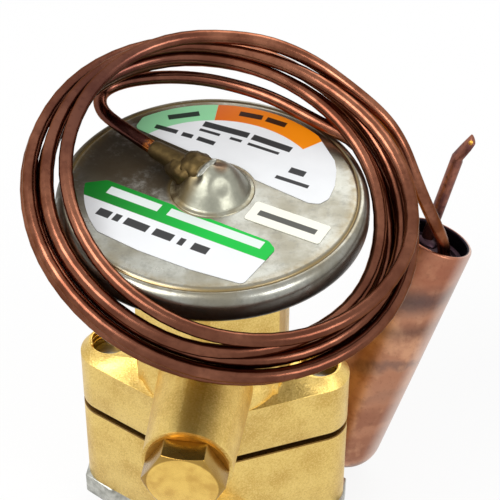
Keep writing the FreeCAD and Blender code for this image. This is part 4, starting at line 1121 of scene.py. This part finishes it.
class VALVE_OT_inner_parts(bpy.types.Operator):
    """Finishes of the parts inside the valve"""

    bl_idname = "valve.inner_parts"
    bl_label = "Inner parts"

    def execute(self, context):
        bright = steel("bright_steel", tone("c2c4c6"), tone("8c8e90"), 0.26, 2.2)
        wire = steel("spring_wire", tone("8a8c90"), tone("55565a"), 0.3, 1.2)
        fibre = plain("gasket_fibre", tone("b8b4a4"), tone("8c8878"), 0.7)
        ring = plain("cap_gasket_brass", tone("c89a48"), tone("8a6428"), 0.36, 1.2, 1.0)
        rubber = plain("seal_rubber", tone("26262a"), tone("121214"), 0.5)
        paint(dark_brass(settings_of(context)), "cage_body", "gland_nut", "cage_spring_retainer",
              "crown_gear", "spring_seat")
        paint(bright, "cage_seat", "valve_pin", "push_rod", "diaphragm_plate", "adjusting_stem",
              "diaphragm")
        paint(wire, "cage_spring", "superheat_spring")
        paint(fibre, "lower_gasket", "upper_gasket")
        paint(ring, "cap_gasket")
        paint(rubber, "stem_seal_ring", "push_rod_seal")
        return {"FINISHED"}


# How far the floor and the backdrop shine by themselves where the camera sees them, and how
# strongly the white room lights the valve.
FLOOR_GLOW = 0.88
ROOM_LIGHT = 0.42
WHITE = (1, 1, 1, 1)
# Each lamp: its place in metres, its width in metres and its power in watts.
LAMPS = {
    "key lamp": ((-0.34, -0.3, 0.62), 0.4, 3.4),
    "fill lamp": ((0.5, -0.34, 0.42), 0.26, 1.5),
    "rear lamp": ((0.15, 0.6, 0.5), 0.5, 2.0),
}
LAMP_AIM = Vector((0, 0, 0.07))
SENSOR_WIDTH = 36.0
# The photograph's camera: place in millimetres, angles in degrees, focus in pixels of its width.
CAMERA_PLACE = (46.16, -272.38, 324.13)
CAMERA_TURN = 8.13
CAMERA_DROP = 41.9
CAMERA_ROLL = -0.34
CAMERA_FOCUS = 1904.7
IMAGE_WIDTH = 500


def camera_matrix():
    """The camera's place and turn in the frame."""
    turn, drop, roll = (math.radians(value) for value in (CAMERA_TURN, CAMERA_DROP, CAMERA_ROLL))
    ahead = Vector((-math.sin(turn) * math.cos(drop), math.cos(turn) * math.cos(drop),
                    -math.sin(drop)))
    level = Vector((math.cos(turn), math.sin(turn), 0))
    down = ahead.cross(level)
    right = level * math.cos(roll) + down * math.sin(roll)
    below = down * math.cos(roll) - level * math.sin(roll)
    matrix = Matrix((right, -below, -ahead)).transposed().to_4x4()
    matrix.translation = Vector(CAMERA_PLACE) * MM
    return matrix


class VALVE_OT_stage(bpy.types.Operator):
    """Pale floor, soft lamps, white background and the camera"""

    bl_idname = "valve.stage"
    bl_label = "Stage"

    def execute(self, context):
        settings = settings_of(context)
        floor = started("primitive_plane_add", "floor", size=6.0)
        finish = Finish("floor", 0.0, 0.8)
        cloud = finish.noise(300.0, 2.0)
        shade = finish.mixed(cloud * 0.1, settings.floor, [c * 0.96 for c in settings.floor])
        finish.feed("Base Color", shade)
        glow = finish.node("ShaderNodeEmission", None, {"Color": WHITE, "Strength": 1.0})
        matt = Value(finish, finish.shader.outputs[0])
        finish.close("Material Output", finish.node(
            "ShaderNodeMixShader", None, {0: finish.seen() * FLOOR_GLOW, 1: matt, 2: glow}))
        floor.data.materials.append(finish.material)
        world = bpy.data.worlds.new("studio")
        world.use_nodes = True
        context.scene.world = world
        studio = Nodes(world.node_tree)
        room = studio.node("ShaderNodeBackground", None, {"Color": WHITE, "Strength": ROOM_LIGHT})
        backdrop = studio.node("ShaderNodeBackground", None, {"Color": WHITE, "Strength": 1.0})
        studio.close("World Output", studio.node(
            "ShaderNodeMixShader", None, {0: studio.seen(), 1: room, 2: backdrop}))
        for name, (place, width, power) in LAMPS.items():
            lamp = bpy.data.lights.new(name, "AREA")
            lamp.size = width
            lamp.energy = power
            holder = bpy.data.objects.new(name, lamp)
            holder.location = place
            holder.rotation_euler = (LAMP_AIM - Vector(place)).to_track_quat("-Z", "Y").to_euler()
            context.collection.objects.link(holder)
        context.scene.view_settings.view_transform = "Standard"
        lens = bpy.data.cameras.new("camera")
        lens.sensor_width = SENSOR_WIDTH
        lens.lens = CAMERA_FOCUS * SENSOR_WIDTH / IMAGE_WIDTH
        lens.clip_start = 0.01
        holder = bpy.data.objects.new("camera", lens)
        holder.matrix_world = camera_matrix()
        context.collection.objects.link(holder)
        context.scene.camera = holder
        return {"FINISHED"}


PIECES = (VALVE_OT_castings, VALVE_OT_screws, VALVE_OT_head, VALVE_OT_dome, VALVE_OT_labels,
          VALVE_OT_stem, VALVE_OT_equalizer, VALVE_OT_bulb, VALVE_OT_capillary, VALVE_OT_inner_parts,
          VALVE_OT_stage)


class VALVE_PT_pieces(bpy.types.Panel):
    """Pieces and settings of the valve"""

    bl_idname = "VALVE_PT_pieces"
    bl_label = "Valve"
    bl_space_type = "VIEW_3D"
    bl_region_type = "UI"
    bl_category = "Valve"

    def draw(self, context):
        settings = settings_of(context)
        for piece in PIECES:
            self.layout.operator(piece.bl_idname)
        for name in ValveSettings.__annotations__:
            self.layout.prop(settings, name)


CLASSES = (ValveSettings, *PIECES, VALVE_PT_pieces)


def register():
    for item in CLASSES:
        bpy.utils.register_class(item)
    bpy.types.Scene.valve_settings = bpy.props.PointerProperty(type=ValveSettings)


def unregister():
    del bpy.types.Scene.valve_settings
    for item in reversed(CLASSES):
        bpy.utils.unregister_class(item)


def main():
    register()
    for piece in PIECES:
        group, name = piece.bl_idname.split(".")
        getattr(getattr(bpy.ops, group), name)()


if __name__ == "__main__":
    main()
